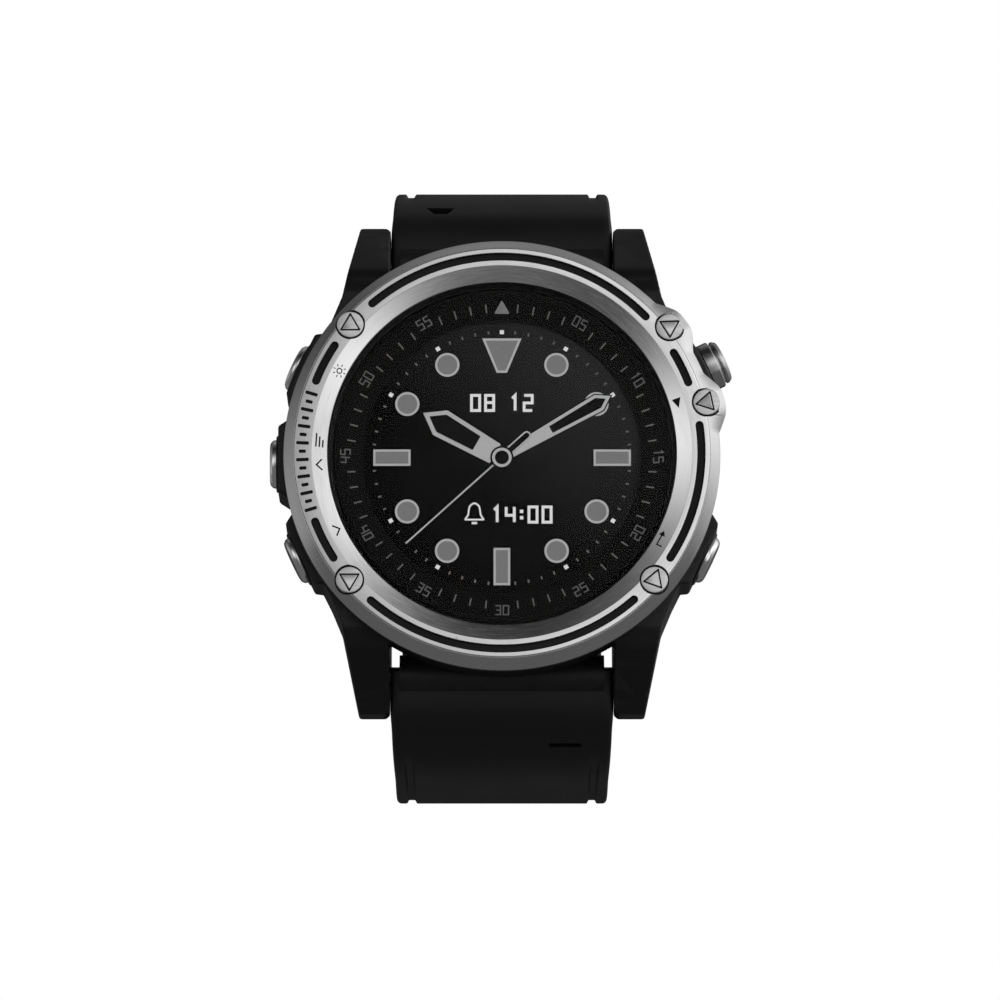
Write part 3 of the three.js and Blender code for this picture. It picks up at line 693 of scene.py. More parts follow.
def case_body():
    drum = lathe("case_body_fine", [
        (0, CASE_FLOOR), (21.0, CASE_FLOOR), (21.6, 1.9), (22.8, 3.2), (24.9, 7.6), (CASE_RADIUS, 8.9),
        (CASE_RADIUS, CASE_TOP), (0, CASE_TOP)], 180)
    bosses = [button_boss(*item) for item in BUTTONS.items()]
    boolean(drum, lug_shapes() + bosses + [guard_pad()], "UNION")
    cuts = [
        lathe("hollow", [(0, 4.8), (CAVITY_RADIUS, 4.8), (CAVITY_RADIUS, CAVITY_TOP),
                         (21.3, CAVITY_TOP), (21.3, 20), (0, 20)], 96),
        lathe("rear", [(0, -1), (COVER_SEAT_RADIUS, -1), (COVER_SEAT_RADIUS, 3.1),
                       (14.6, 3.1), (14.6, 5), (0, 5)], 96),
    ]
    for up in (1, -1):
        low, high = sorted((up * 21.35, up * 31))
        cuts.append(block("pocket", -LUG_INNER_X, LUG_INNER_X, low, high, -1, 8.8))
        bore = rod("bar_bore", LUG_BAR_BORE, -THROUGH, THROUGH, 32)
        cuts.append(moved(bore, at_lug_bar(up) @ ALONG_X))
        for degrees in (0, 180):
            seat = rod("screw_seat", LUG_SCREW_HEAD + 0.15, 15.4, THROUGH, 32)
            cuts.append(moved(seat, at_lug_bar(up) @ turn_z(degrees) @ ALONG_X))
    for angle in BUTTONS.values():
        profile = [(0, 18), (1.65, 18), (1.65, 22), (STEM_BORE, 22), (STEM_BORE, SPRING_SEAT),
                   (CAP_BORE, SPRING_SEAT), (CAP_BORE, 30), (0, 30)]
        cuts.append(outward(lathe("button_bore", profile, 48), angle))
    boolean(drum, cuts)
    remeshed(drum, 0.17, 2, 0.25)
    finish_piece(drum, "case_body_fine", "case", POLYMER, ["case_body"], 60)


case_body()


# ---- bezel --------------------------------------------------------------------------------------
def guard_bulge(degrees):
    """How far the bezel's rim stands out at an angle: the guard beside the start button."""
    off = abs((degrees - GUARD_ANGLE + 180) % 360 - 180)
    steps = [(0, 0.0), (3.2, 0.0), (7.6, 1.12), (9.0, 1.32), (13.2, 1.32), (14.8, 1.15), (19.6, 0.0),
             (180, 0.0)]
    for (a, low), (b, high) in zip(steps, steps[1:]):
        if a <= off <= b:
            return low + (high - low) * (off - a) / (b - a)
    return 0.0


def slot_cutter(start, end):
    """A groove with rounded ends that follows the ring, its top edges slightly broken."""
    loops = []
    count = max(8, int((end - start) / 1.5))
    for depth, grow in ((-0.5, 0.0), (-0.1, 0.0), (0.0, 0.07), (0.6, 0.67)):
        half = SLOT_WIDTH / 2 + grow
        outline = []
        for side, first, last in ((1, start, end), (-1, end, start)):
            for step in range(count + 1):
                degrees = first + (last - first) * step / count
                outline.append(polar(SLOT_CIRCLE + side * half, degrees))
            x, y = polar(SLOT_CIRCLE, last)
            for step in range(1, 8):
                dx, dy = polar(half, last + 90 - side * 90 + step * 22.5)
                outline.append((x + dx, y + dy))
        loops.append([(x, y, BEZEL_TOP + depth) for x, y in outline])
    return stacked("slot", loops)


def depth_marks():
    """Engraved bars on the ring's left, long and short in turn."""
    cutters = []
    for index in range(15):
        angle = SLOT_FREE_MIDDLE + (index - 7) * 2.45
        length = 0.74 if index % 2 == 0 else 0.42
        outline = fillet(rectangle(-length, length, -0.2, 0.2), 0.15)
        mark = prism("mark", outline, BEZEL_TOP - 0.3, BEZEL_TOP + 1)
        x, y = polar(SLOT_CIRCLE, angle)
        cutters.append(moved(mark, Matrix.Translation((x, y, 0)) @ turn_z(angle)))
    return cutters


SEAT_RADIUS = 1.73
FLAT_LOOK, SLOPE_LOOK, OUTER_LOOK, SLOT_LOOK = range(4)


def bezel():
    profile = fillet([
        (21.2, BEZEL_LOW), (BEZEL_RADIUS, BEZEL_LOW), (BEZEL_RADIUS, 15.55),
        (FLAT_RADIUS + 0.08, BEZEL_TOP - 0.06), (FLAT_RADIUS + 0.03, BEZEL_TOP - 0.1),
        (FLAT_RADIUS - 0.05, BEZEL_TOP - 0.02), (FLAT_RADIUS - 0.1, BEZEL_TOP),
        (SLOPE_RADIUS + 0.06, BEZEL_TOP), (SLOPE_RADIUS, BEZEL_TOP - 0.03),
        SLOPE_EDGE, (LENS_OPENING, 16.62), (LENS_OPENING, 16.05), (21.2, 16.05),
    ], [0.1, 0.25, 0.3, 0.02, 0, 0, 0.02, 0.03, 0.02, 0.05, 0.05, 0.05, 0.05], steps=3)
    steps = 480
    loops = []
    for step in range(steps):
        degrees = 360 * step / steps
        bulge = guard_bulge(degrees)
        loop = []
        for radius, height in profile:
            chamfer = BEZEL_RADIUS - FLAT_RADIUS - 0.1
            share = min(max((radius - FLAT_RADIUS - 0.1) / chamfer, 0), 1)
            x, y = polar(radius + bulge * share, degrees)
            loop.append((x, y, height))
        loops.append(loop)
    body = stacked("bezel_fine", loops, wrap=True)
    cutters = [slot_cutter(*arc) for arc in SLOT_ARCS] + depth_marks()
    for angle, circle, _ in BEZEL_SCREWS.values():
        outline = [(0, SCREW_SEAT), (SEAT_RADIUS, SCREW_SEAT), (SEAT_RADIUS, BEZEL_TOP - 0.05),
                   (1.8, BEZEL_TOP + 0.02), (1.8, 20), (0, 20)]
        cutters.append(shifted(lathe("seat", outline, 48), *polar(circle, angle), 0))
    boolean(body, cutters)
    triangulated(body)
    screws = [polar(circle, angle) for angle, circle, _ in BEZEL_SCREWS.values()]
    indices = []
    for polygon in body.data.polygons:
        centre, up = polygon.center, polygon.normal.z
        radius = math.hypot(centre.x, centre.y)
        look = FLAT_LOOK
        if FLAT_RADIUS - 1.9 < radius < FLAT_RADIUS - 0.2 and centre.z < BEZEL_TOP - 0.08:
            look = SLOT_LOOK
        elif radius < SLOPE_RADIUS:
            look = SLOPE_LOOK
        elif radius > FLAT_RADIUS + 0.02 and up < 0.98:
            look = OUTER_LOOK
        # painted shade: the floor and the wall of a screw's seat are coloured as dark as the slots
        near = any(math.hypot(centre.x - x, centre.y - y) < 1.79 for x, y in screws)
        low = centre.z < SCREW_SEAT + 0.1 and up > 0.9
        if near and centre.z < BEZEL_TOP - 0.06 and (low or abs(up) < 0.5):
            look = SLOT_LOOK
        indices.append(look)
    finish_piece(body, "bezel_fine", "case", STEEL_FLAT, ["bezel"], 24,
                 (STEEL_SLOPE, STEEL_OUTER, SLOT_BLACK_AND_PAINTED_SEAT_SHADE))
    body.data.polygons.foreach_set("material_index", indices)


bezel()


def triangle_screw(node, centre, apex):
    """A flat screw head with a raised triangle inside a fine groove, for a three-sided driver."""
    x, y = polar(centre[1], centre[0])
    top = BEZEL_TOP - 0.03

    def triangle(radius, low, high, corner):
        points = [polar(radius, apex + 120 * index) for index in range(3)]
        return prism("triangle", fillet(points, corner), low, high)

    profile = [(0, 11.2), (0.55, 11.2), (0.55, 16.3), (1.57, 16.3), (1.57, top), (0, top)]
    head = lathe("head", fillet(profile, [0, 0.1, 0, 0.1, 0.12, 0], closed=False), 64)
    boolean(head, [triangle(1.46, top - 0.34, top + 1, 0.12)])
    island = bevelled(triangle(1.12, top - 0.4, top - 0.02, 0.1), 0.03)
    boolean(head, [island], "UNION")
    triangulated(head)
    # painted shade: the groove round the triangle takes the darker grey
    shade = [int(top - 0.36 < polygon.center.z < top - 0.07 and polygon.center.xy.length < 1.5)
             for polygon in head.data.polygons]
    finish_piece(shifted(head, x, y, 0), node + "_fine", "case", STEEL_SCREW, [node],
                 30, (GROOVE_PAINTED_SHADE,))
    head.data.polygons.foreach_set("material_index", shade)


for screw_name, (screw_angle, screw_circle, screw_apex) in BEZEL_SCREWS.items():
    triangle_screw(screw_name, (screw_angle, screw_circle), screw_apex)


# ---- lens and dial ------------------------------------------------------------------------------
def lens():
    dome, edge = 20.05, 16.72
    profile = [(0, 14.95), (20.9, 14.95), (20.9, 15.9), (20.16, 15.95), (20.16, 16.6), (dome, edge)]
    for step in range(1, 25):
        radius = dome * (1 - step / 24)
        profile.append((radius, edge + (LENS_TOP - edge) * (1 - (radius / dome) ** 2)))
    finish_piece(lathe("lens", profile, 160), "lens_fine", "case", LENS, ["lens"], 40)


lens()


# ---- printed marks ------------------------------------------------------------------------------
def ribbon(points, width, low, high, closed=False):
    """A flat stroke of constant width along a line, with mitred corners."""
    half = width / 2
    count = len(points)
    loops = []
    for index in range(count):
        here = Vector(points[index])
        before = Vector(points[index - 1]) if closed or index > 0 else None
        after = Vector(points[(index + 1) % count]) if closed or index < count - 1 else None
        to_here = (here - before).normalized() if before is not None else (after - here).normalized()
        onward = (after - here).normalized() if after is not None else to_here
        side_a = Vector((-to_here.y, to_here.x))
        side_b = Vector((-onward.y, onward.x))
        side = (side_a + side_b).normalized()
        side = side * (half / max(side.dot(side_a), 0.3))
        a, b = here + side, here - side
        loops.append([(a.x, a.y, low), (b.x, b.y, low), (b.x, b.y, high), (a.x, a.y, high)])
    return stacked("stroke", loops, wrap=closed)


INSET = 0.16
DIGITS = {
    "0": [("loop", (0, 0), (1, 0), (1, 2), (0, 2))],
    "1": [("line", (0.25, 1.6), (0.62, 2), (0.62, 0))],
    "2": [("line", (0, 2), (1, 2), (1, 1), (0, 1), (0, 0), (1, 0))],
    "3": [("line", (0, 2), (1, 2), (1, 0), (0, 0)), ("line", (0.2, 1), (1 - INSET, 1))],
    "4": [("line", (0, 2), (0, 0.9), (1 - INSET, 0.9)), ("line", (1, 2), (1, 0))],
    "5": [("line", (1, 2), (0, 2), (0, 1.1), (1, 1.1), (1, 0), (0, 0))],
    "6": [("line", (1, 2), (0, 2), (0, 0), (1, 0), (1, 1.1), (INSET, 1.1))],
    "7": [("line", (0, 2), (1, 2), (0.5, 0))],
    "8": [("loop", (0, 0), (1, 0), (1, 2), (0, 2)), ("line", (INSET, 1.05), (1 - INSET, 1.05))],
    "9": [("line", (0, 0), (1, 0), (1, 2), (0, 2), (0, 0.9), (1 - INSET, 0.9))],
}


def digits(text, height, weight, low, high):
    """Squared numerals, centred on the origin with their tops to +y."""
    unit = height / 2
    wide = unit * 1.05
    steps = {":": 0.62, " ": 0.75}
    advance = [steps.get(char, 1.0) * (wide + weight * 2.1) for char in text]
    at = -sum(advance) / 2
    strokes = []
    for char, step in zip(text, advance):
        middle = at + step / 2
        if char == ":":
            half = weight * 0.6
            for level in (-0.42 * unit, 0.42 * unit):
                strokes.append(block("dot", middle - half, middle + half, level - half, level + half,
                                     low, high))
        for order, (kind, *points) in enumerate(DIGITS.get(char, [])):
            placed = [(middle + (x - 0.5) * wide, (y - 1) * unit) for x, y in points]
            strokes.append(ribbon(placed, weight, low, high - order * 0.003, kind == "loop"))
        at += step
    return strokes


def spun(items, degrees, x=0.0, y=0.0):
    turn = Matrix.Translation((x, y, 0)) @ turn_z(degrees)
    return [moved(item, turn) for item in items]


def inset(points, by):
    """An outline moved inwards."""
    area = sum(x0 * y1 - x1 * y0 for (x0, y0), (x1, y1) in zip(points, points[1:] + points[:1]))
    points = points if area > 0 else points[::-1]
    out = []
    for index, point in enumerate(points):
        here, before = Vector(point), Vector(points[index - 1])
        after = Vector(points[(index + 1) % len(points)])
        a, b = (here - before).normalized(), (after - here).normalized()
        side_a, side_b = Vector((-a.y, a.x)), Vector((-b.y, b.x))
        side = (side_a + side_b).normalized()
        out.append(tuple(here + side * (by / max(side.dot(side_a), 0.3))))
    return out


def rim(outline, width, low, high):
    return ribbon(inset(outline, width / 2), width, low, high, True)


def filling(outline, width, low, high):
    """What a marker's rim encloses, lying a little lower."""
    return prism("fill", inset(outline, width * 0.95), low, high - 0.01)


DOT_CIRCLE, MARKER_CIRCLE, MARKER_RADIUS = 14.95, 12.75, 1.42
MARKER_RIM = 0.26
SECOND_HAND_ANGLE = 222.3


def grown(points, by):
    """An outline moved outwards."""
    return inset(points, -by)


def dial_marks():
    ink = {"tick": [], "rim": [], "fill": [], "text": [], "scale": []}
    low, high = DIAL_Z + 0.002, DIAL_Z + 0.03
    # track of sixty dots round the markers
    for index in range(60):
        if index in (15, 30, 45):
            continue
        width, length, kind = (0.1, 0.19, "tick") if index % 5 else (0.24, 0.24, "text")
        dot = block("dot", -width, width, -length, length, low, high)
        ink[kind] += spun([dot], -index * 6, *polar(DOT_CIRCLE, 90 - index * 6))
    # hour markers
    for hour in (1, 2, 4, 5, 7, 8, 10, 11):
        outline = [polar(MARKER_RADIUS, 360 * step / 40) for step in range(40)]
        place = polar(MARKER_CIRCLE, 90 - hour * 30)
        ink["rim"] += spun([rim(outline, MARKER_RIM, low, high)], 0, *place)
        ink["fill"] += spun([filling(outline, MARKER_RIM, low, high)], 0, *place)
    for angle, inner, outer in ((0, 10.7, 15.05), (180, 10.65, 15.0), (270, 10.7, 15.1)):
        outline = rectangle(inner, outer, -0.97, 0.97)
        ink["rim"] += spun([rim(outline, MARKER_RIM, low, high)], angle)
        ink["fill"] += spun([filling(outline, MARKER_RIM, low, high)], angle)
    outline = [(-0.6, 10.1), (0.6, 10.1), (2.3, 14.2), (-2.3, 14.2)]
    ink["rim"].append(rim(outline, MARKER_RIM, low, high))
    ink["fill"].append(filling(outline, MARKER_RIM, low, high))
    # date and time of day
    ink["text"] += [shifted(item, 0, 6.5, 0) for item in digits("08 12", 1.8, 0.33, low, high)]
    ink["text"] += [shifted(item, 2.3, -6.75, 0) for item in digits("14:00", 1.8, 0.33, low, high)]
    bell = fillet([(-1.1, -0.75), (-0.72, -0.2), (-0.6, 0.8), (0, 1.3), (0.6, 0.8), (0.72, -0.2),
                   (1.1, -0.75)], [0.05, 0.4, 0.5, 0.4, 0.5, 0.4, 0.05])
    ink["text"].append(shifted(ribbon(bell, 0.2, low, high, True), -3.2, -6.6, 0))
    ink["text"].append(shifted(block("clapper", -0.32, 0.32, -1.3, -1.02, low, high), -3.2, -6.6, 0))
    # hands, each with a thin black border that sets it off from what it covers
    borders = []
    hour_hand = [(0.9, -1.3), (8.3, -1.68), (10.6, 0), (8.3, 1.68), (0.9, 1.3)]
    minute_hand = [(1.2, -0.62), (13.1, -1.04), (14.65, 0), (13.1, 1.04), (1.2, 0.62)]
    for outline, width, solid, angle in (
            (hour_hand, 0.48, [(0.95, -0.95), (3.4, -1.15), (3.4, 1.15), (0.95, 0.95)], 150),
            (minute_hand, 0.36, [(1.3, -0.4), (6.6, -0.6), (6.6, 0.6), (1.3, 0.4)], 30)):
        low, high = high + 0.004, high + 0.02
        borders += spun([prism("border", grown(outline, 0.14), low, high)], angle)
        low, high = high + 0.004, high + 0.03
        hand = [rim(outline, width, low, high), prism("solid", solid, low, high - 0.006)]
        ink["rim"] += spun(hand, angle)
    low, high = high + 0.004, high + 0.03
    ink["rim"] += spun([ribbon([(1.2, 0), (15.1, 0)], 0.17, low, high)], SECOND_HAND_ANGLE)
    tip = [(3.9 + 0.42 * math.sin(step / 6 * math.pi), -0.42 * math.cos(step / 6 * math.pi))
           for step in range(1, 6)]
    tail = [(1.25, -0.4), (3.9, -0.4)] + tip + [(3.9, 0.4), (1.25, 0.4)]
    border = prism("border", grown(tail, 0.1), low - 0.003, high - 0.01)
    borders += spun([border], SECOND_HAND_ANGLE - 180)
    ink["rim"] += spun([ribbon(tail, 0.16, low, high, True)], SECOND_HAND_ANGLE - 180)
    borders.append(rod("border", 1.36, low, high + 0.004))
    circle = [polar(0.98, step * 10) for step in range(36)]
    ink["rim"].append(ribbon(circle, 0.32, low, high + 0.012, True))
    finish_piece(combine("borders", borders), "hand_borders", "case", DIAL_EDGE)
    hub = rod("hub", 0.74, low, high + 0.008)
    finish_piece(hub, "hand_hub", "case", DIAL_EDGE)
    return ink


def on_scale(item, radius, degrees):
    """Lays a shape drawn flat, y outwards, on the sloping scale ring."""
    rise, run = 0.85, 2.8
    height = 13.85 + (radius - 16.2) * rise / run + 0.012
    lean = Matrix.Rotation(math.atan2(rise, run), 4, "X")
    x, y = polar(radius, degrees)
    return moved(item, Matrix.Translation((x, y, height)) @ turn_z(degrees - 90) @ lean)


def scale_marks():
    marks = []
    for index in range(60):
        degrees = 90 - index * 6
        if index == 0:
            arrow = prism("arrow", fillet([(-0.92, -0.78), (0.92, -0.78), (0, 0.85)], 0.14), 0, 0.02)
            marks.append(("fill", on_scale(arrow, 17.75, degrees)))
            continue
        if index % 5 == 0:
            upright = index < 20 or index > 40
            for item in digits("%02d" % index, 1.15, 0.16, 0, 0.02):
                if not upright:
                    item = moved(item, turn_z(180))
                marks.append(("scale", on_scale(item, 18.25, degrees)))
            continue
        tick = block("tick", -0.085, 0.085, -0.5, 0.5, 0, 0.02)
        marks.append(("scale", on_scale(tick, 17.65, degrees)))
    return marks


def face():
    ink = dial_marks()
    for kind, item in scale_marks():
        ink[kind].append(item)
    looks = {"tick": INK_TICK, "rim": INK_RIM, "fill": INK_FILL, "text": INK_TEXT, "scale": INK_SCALE}
    for kind, items in ink.items():
        finish_piece(combine("ink", items), "dial_ink_" + kind, "case", looks[kind])
    profile = [(16.2, 13.5), (19.7, 13.5), (19.7, 14.7), (19.0, 14.7), (16.2, SCALE_Z - 0.85)]
    ring = lathe("scale_ring_fine", fillet(profile, [0.05, 0.05, 0.15, 0.1, 0.06]), 160, True)
    finish_piece(ring, "scale_ring_fine", "case", DIAL_EDGE, ["scale_ring"])
    profile = [(0, 12.4), (18.3, 12.4), (18.3, DIAL_Z), (0, DIAL_Z)]
    glass = lathe("display_fine", fillet(profile, 0.05, closed=False), 96)
    finish_piece(glass, "display_fine", "case", DISPLAY, ["display_panel"])
    profile = [(20.95, 14.9), (20.22, 16.0), (20.22, 16.55), (20.28, 16.6), (20.28, 16.0),
               (21.15, 15.95), (21.15, 14.9)]
    seal = lathe("lens_seal", fillet(profile, 0.02), 160, True)
    finish_piece(seal, "lens_seal", "case", RUBBER)


face()


# ---- marks on the bezel's slope -----------------------------------------------------------------
def on_slope(item, degrees):
    """Lays a mark drawn flat, y outwards, in the middle of the bezel's slope."""
    (inner, low), (outer, high) = SLOPE_EDGE, (SLOPE_RADIUS, BEZEL_TOP - 0.03)
    lean = Matrix.Rotation(math.atan2(high - low, outer - inner), 4, "X")
    x, y = polar((outer + inner) / 2, degrees)
    place = Matrix.Translation((x, y, (high + low) / 2))
    return moved(item, place @ turn_z(degrees - 90) @ lean)


def slope_marks():
    def grown_by(points, scale=1.3):
        return [(x * scale, y * scale) for x, y in points]

    def stroke(points, width=0.18, closed=False):
        return ribbon(grown_by(points), width, -0.01, 0.014, closed)

    def bars(count, length):
        return [stroke([(-length, 0.32 - 0.32 * row), (length - 0.28 * row, 0.32 - 0.32 * row)])
                for row in range(count)]

    sun = [stroke([polar(0.24, 45 * step) for step in range(8)], 0.12, True)]
    sun += [stroke([polar(0.42, 45 * step), polar(0.62, 45 * step)], 0.11) for step in range(8)]
    up = [stroke([(-0.5, -0.25), (0, 0.3), (0.5, -0.25)], 0.18)]
    down = [stroke([(-0.5, 0.25), (0, -0.3), (0.5, 0.25)], 0.18)]
    tip = grown_by([(-0.3, -0.52), (-0.3, 0.12), (-0.78, -0.2)])
    back = [stroke([(0.62, 0.32), (0.62, -0.2), (-0.35, -0.2)], 0.16),
            prism("arrow_head", tip, -0.01, 0.014)]
    start = [prism("play", grown_by([(-0.4, -0.42), (0.5, 0), (-0.4, 0.42)]), -0.01, 0.014)]
    placed = [(sun, 153), (bars(3, 0.62), 176.2), (up, 184), (down, 205.6), (back, -29),
              (start, 16)]
    marks = [on_slope(item, degrees) for items, degrees in placed for item in items]
    finish_piece(combine("marks", marks), "bezel_marks", "case", INK_LABEL)


slope_marks()


# ---- buttons ------------------------------------------------------------------------------------
CAP_RADIUS = 2.85


def button(name, angle):
    cap = CAP_RADIUS
    reach = -cad("button_up")[0].x if name != "start" else 28.9
    stem = [(0, 19.6), (1.5, 19.6), (1.5, 20.2), (1, 20.3), (1, 24.6), (cap - 0.1, 24.6), (cap, 24.7)]
    if name == "start":
        outer = [(cap, 25.95), (cap - 0.12, 26.1), (2.5, 26.15), (2.5, 26.45), (cap - 0.12, 26.5),
                 (cap, 26.62), (cap, 27.75), (cap - 0.1, 27.9), (2.42, 27.95), (2.42, 28.15),
                 (2.62, 28.2), (2.62, 28.45), (2.35, reach - 0.06), (2.2, reach), (1.5, reach - 0.04),
                 (0, reach - 0.1)]
    else:
        outer = [(cap, 25.35), (cap - 0.1, 25.42), (cap - 0.1, 25.52), (cap, 25.6),
                 (cap, reach - 0.55), (cap - 0.1, reach - 0.3), (cap - 0.38, reach - 0.06),
                 (cap - 0.6, reach), (1.8, reach - 0.05), (0, reach - 0.16)]
    body = lathe("cap", fillet(stem + outer, 0.05, closed=False, steps=2), 96)
    look = STEEL_START if name == "start" else STEEL_BUTTON
    node = "button_" + name
    finish_piece(outward(body, angle), node + "_fine", node, look, [node])
    profile = [(2.9, 25.1), (3.35, 25.1), (3.35, 26.36), (3.22, 26.46), (3.0, 26.46), (2.9, 26.36)]
    sleeve = lathe("sleeve", fillet(profile, [0, 0, 0.1, 0.06, 0.06, 0.05]), 64, True)
    finish_piece(outward(sleeve, angle), node + "_collar", "case", POLYMER)


SPRING_RADIUS, SPRING_WIRE = 1.9, 0.15
SPRING_LOW, SPRING_LENGTH, SPRING_TURNS = 22.85, 1.4, 2.5


def spring(name, angle):
    """The return spring under a cap, built as one coil of fixed length."""
    steps = 90
    loops = []
    for step in range(steps + 1):
        turn = 2 * math.pi * SPRING_TURNS * step / steps
        height = SPRING_LOW + SPRING_LENGTH * step / steps
        middle = Vector((SPRING_RADIUS * math.cos(turn), SPRING_RADIUS * math.sin(turn), height))
        side = Vector((math.cos(turn), math.sin(turn), 0)) * SPRING_WIRE
        up = Vector((0, 0, SPRING_WIRE))
        loops.append([tuple(middle + side * math.cos(a) - up * math.sin(a))
                      for a in (math.radians(30 * corner) for corner in range(12))])
    coil = outward(stacked("coil", loops), angle)
    node = "button_" + name + "_spring"
    finish_piece(coil, node + "_fine", "case", STEEL_INNER, [node])
    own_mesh(coil)


for button_name, button_angle in BUTTONS.items():
    button(button_name, button_angle)
    spring(button_name, button_angle)


# ---- strap --------------------------------------------------------------------------------------
START_HEADING = 8
STRAP_BEHIND = 0.6                 # how far the full width reaches behind the lug bar
ROOT_RADIUS, ROOT_HALF_WIDTH = 2.5, 12.0
TAIL_HALF = 1.3                    # half thickness of the short half's tail
BUCKLE_BORE = 1.0
ROOT_RUN = [(2.7, 1), (3.2, 39), (2.2, 5), (6.4, 27)]
SHORT_RUN = ROOT_RUN + [(7.5, 22), (29, 78), (20, 0)]
LONG_RUN = ROOT_RUN + [(20.5, 21), (84, 60)]
GROOVE_X = 11.1
LATCH_AT = 8.2
HOLE_COUNT, HOLE_FIRST, HOLE_PITCH = 13, 38, 5.6
HOLE_WIDTH, HOLE_LENGTH = 4.4, 2.4
TOP_CORNER, BOTTOM_CORNER = 0.55, 0.4


def middle_line(run, step=0.5):
    """The strap's middle as (distance, y, z, heading below the horizontal) from its lug bar."""
    at, y, z, heading = 0.0, LUG_BAR_Y, LUG_BAR_Z, START_HEADING
    line = [(at, y, z, heading)]
    for length, turn in run:
        count = max(1, round(length / step))
        for _ in range(count):
            middle = math.radians(heading + turn / count / 2)
            y += math.cos(middle) * length / count
            z -= math.sin(middle) * length / count
            heading += turn / count
            at += length / count
            line.append((at, y, z, heading))
    return line


def ramp(value, low, high):
    t = min(max((value - low) / (high - low), 0), 1)
    return t * t * (3 - 2 * t)


def spot(line, at):
    for a, b in zip(line, line[1:]):
        if a[0] <= at <= b[0]:
            t = (at - a[0]) / (b[0] - a[0])
            return tuple(p + (q - p) * t for p, q in zip(a, b))
    return line[-1]


def on_strap(item, place):
    """Moves a shape drawn with y along the strap and z out of its outer face to its place."""
    _, y, z, heading = place
    return moved(item, Matrix.Translation((0, y, z)) @ Matrix.Rotation(-math.radians(heading), 4, "X"))


def strap_section(at, end_gap):
    """Points round the strap at a distance: thickness, width, edge rounding and the two edge grooves."""
    thick = 3.6 - min(max((at - 10) / 30, 0), 1)
    half = STRAP_HALF_WIDTH + 0.14 - 0.14 * ramp(at, 3.5, 6) - 0.35 * ramp(at, 4, 17)
    if end_gap < 7:
        half -= 7 * (1 - math.sqrt(max(1 - (1 - end_gap / 7) ** 2, 0))) * 0.9
    depth = 0.42 * ramp(at, 8.5, 12.5)
    top, bottom = thick / 2, -thick / 2
    scale = half / STRAP_HALF_WIDTH
    samples = [11.75, 11.62, 11.5, 11.42, 11.1, 10.78, 10.7, 10.58, 10.45, 9, 6, 3]
    across = [-u for u in samples] + [0] + samples[::-1]
    points = []
    for u in across:
        shape = 1 - ramp(abs(abs(u) - GROOVE_X), 0.36, 0.62)
        points.append((u * scale, top - depth * shape))

    def arc(side, level, radius, angles):
        u, v = side * (half - radius), level
        return [(u + x, v + y) for x, y in (polar(radius, angle) for angle in angles)]

    over, under = top - TOP_CORNER, bottom + BOTTOM_CORNER
    points += arc(1, over, TOP_CORNER, [90 - step * 90 / 7 for step in range(1, 8)])
    points += arc(1, under, BOTTOM_CORNER, [-step * 90 / 7 for step in range(8)])
    points += [(half * share, bottom) for share in (0.8, 0.5, 0, -0.5, -0.8)]
    points += arc(-1, under, BOTTOM_CORNER, [-90 - step * 90 / 7 for step in range(8)])
    points += arc(-1, over, TOP_CORNER, [90 + step * 90 / 7 for step in range(7, 0, -1)])
    return points


def strap_sheet(line, rounded_end):
    """The strap's full width, from just behind its lug bar to its end."""
    loops = []
    last = line[-1][0]
    back, rise = polar(STRAP_BEHIND, START_HEADING)
    behind = (-STRAP_BEHIND, LUG_BAR_Y - back, LUG_BAR_Z + rise, START_HEADING)
    stations = [behind] + line
    if rounded_end:
        extra = [spot(line, last - gap) for gap in (0.3, 0.12, 0.02)]
        stations = [item for item in stations if item[0] < last - 0.4] + extra
    for at, y, z, heading in stations:
        a = math.radians(heading)
        gap = last - at if rounded_end else 99
        loop = []
        for u, v in strap_section(at, gap):
            loop.append((u, y + v * math.sin(a), z + v * math.cos(a)))
        loops.append(loop)
    return stacked("strap", loops)


def half_turn(item):
    return moved(item, turn_z(180))


def strap_root():
    """The round knuckle on the lug bar."""
    return [across_rod(ROOT_RADIUS, -ROOT_HALF_WIDTH, ROOT_HALF_WIDTH, LUG_BAR_Y, LUG_BAR_Z)]


def strap_cuts(line):
    """The lug bar's bore and the latch's pocket."""
    return [across_rod(1.25, -THROUGH, THROUGH, LUG_BAR_Y, LUG_BAR_Z),
            on_strap(block("latch_pocket", -4.2, 4.2, -2.6, 2.8, -3, -0.55), spot(line, LATCH_AT))]


short_line = middle_line(SHORT_RUN)
long_line = middle_line(LONG_RUN)


def strap_short():
    band = strap_sheet(short_line, False)
    tail_y = short_line[-1][1]
    half = STRAP_HALF_WIDTH - 0.36
    web = block("web", -half, half, BUCKLE_Y, tail_y + 1, BUCKLE_Z - TAIL_HALF, BUCKLE_Z + TAIL_HALF)
    end = across_rod(2.15, -half, half, BUCKLE_Y, BUCKLE_Z)
    boolean(band, strap_root() + [bevelled(end, 0.3, 3), web], "UNION")
    outline = [(-9.0, 0.75), (-5.65, 0.75), (-6.4, -0.75), (-8.05, -0.75)]
    recess = on_strap(prism("recess", outline, 0.9, 3), spot(short_line, 6.65))
    outline = fillet(rectangle(-2, 2, BUCKLE_Y - 4, BUCKLE_Y + 4.2), [0, 0, 1.2, 1.2])
    slot = prism("tang_slot", outline, BUCKLE_Z - 4, BUCKLE_Z + 4)
    bore = across_rod(BUCKLE_BORE, -THROUGH, THROUGH, BUCKLE_Y, BUCKLE_Z)
    boolean(band, strap_cuts(short_line) + [bore, slot, recess])
    finish_piece(band, "strap_short_fine", "strap_short_half", SILICONE,
                 ["strap_short"], 38)


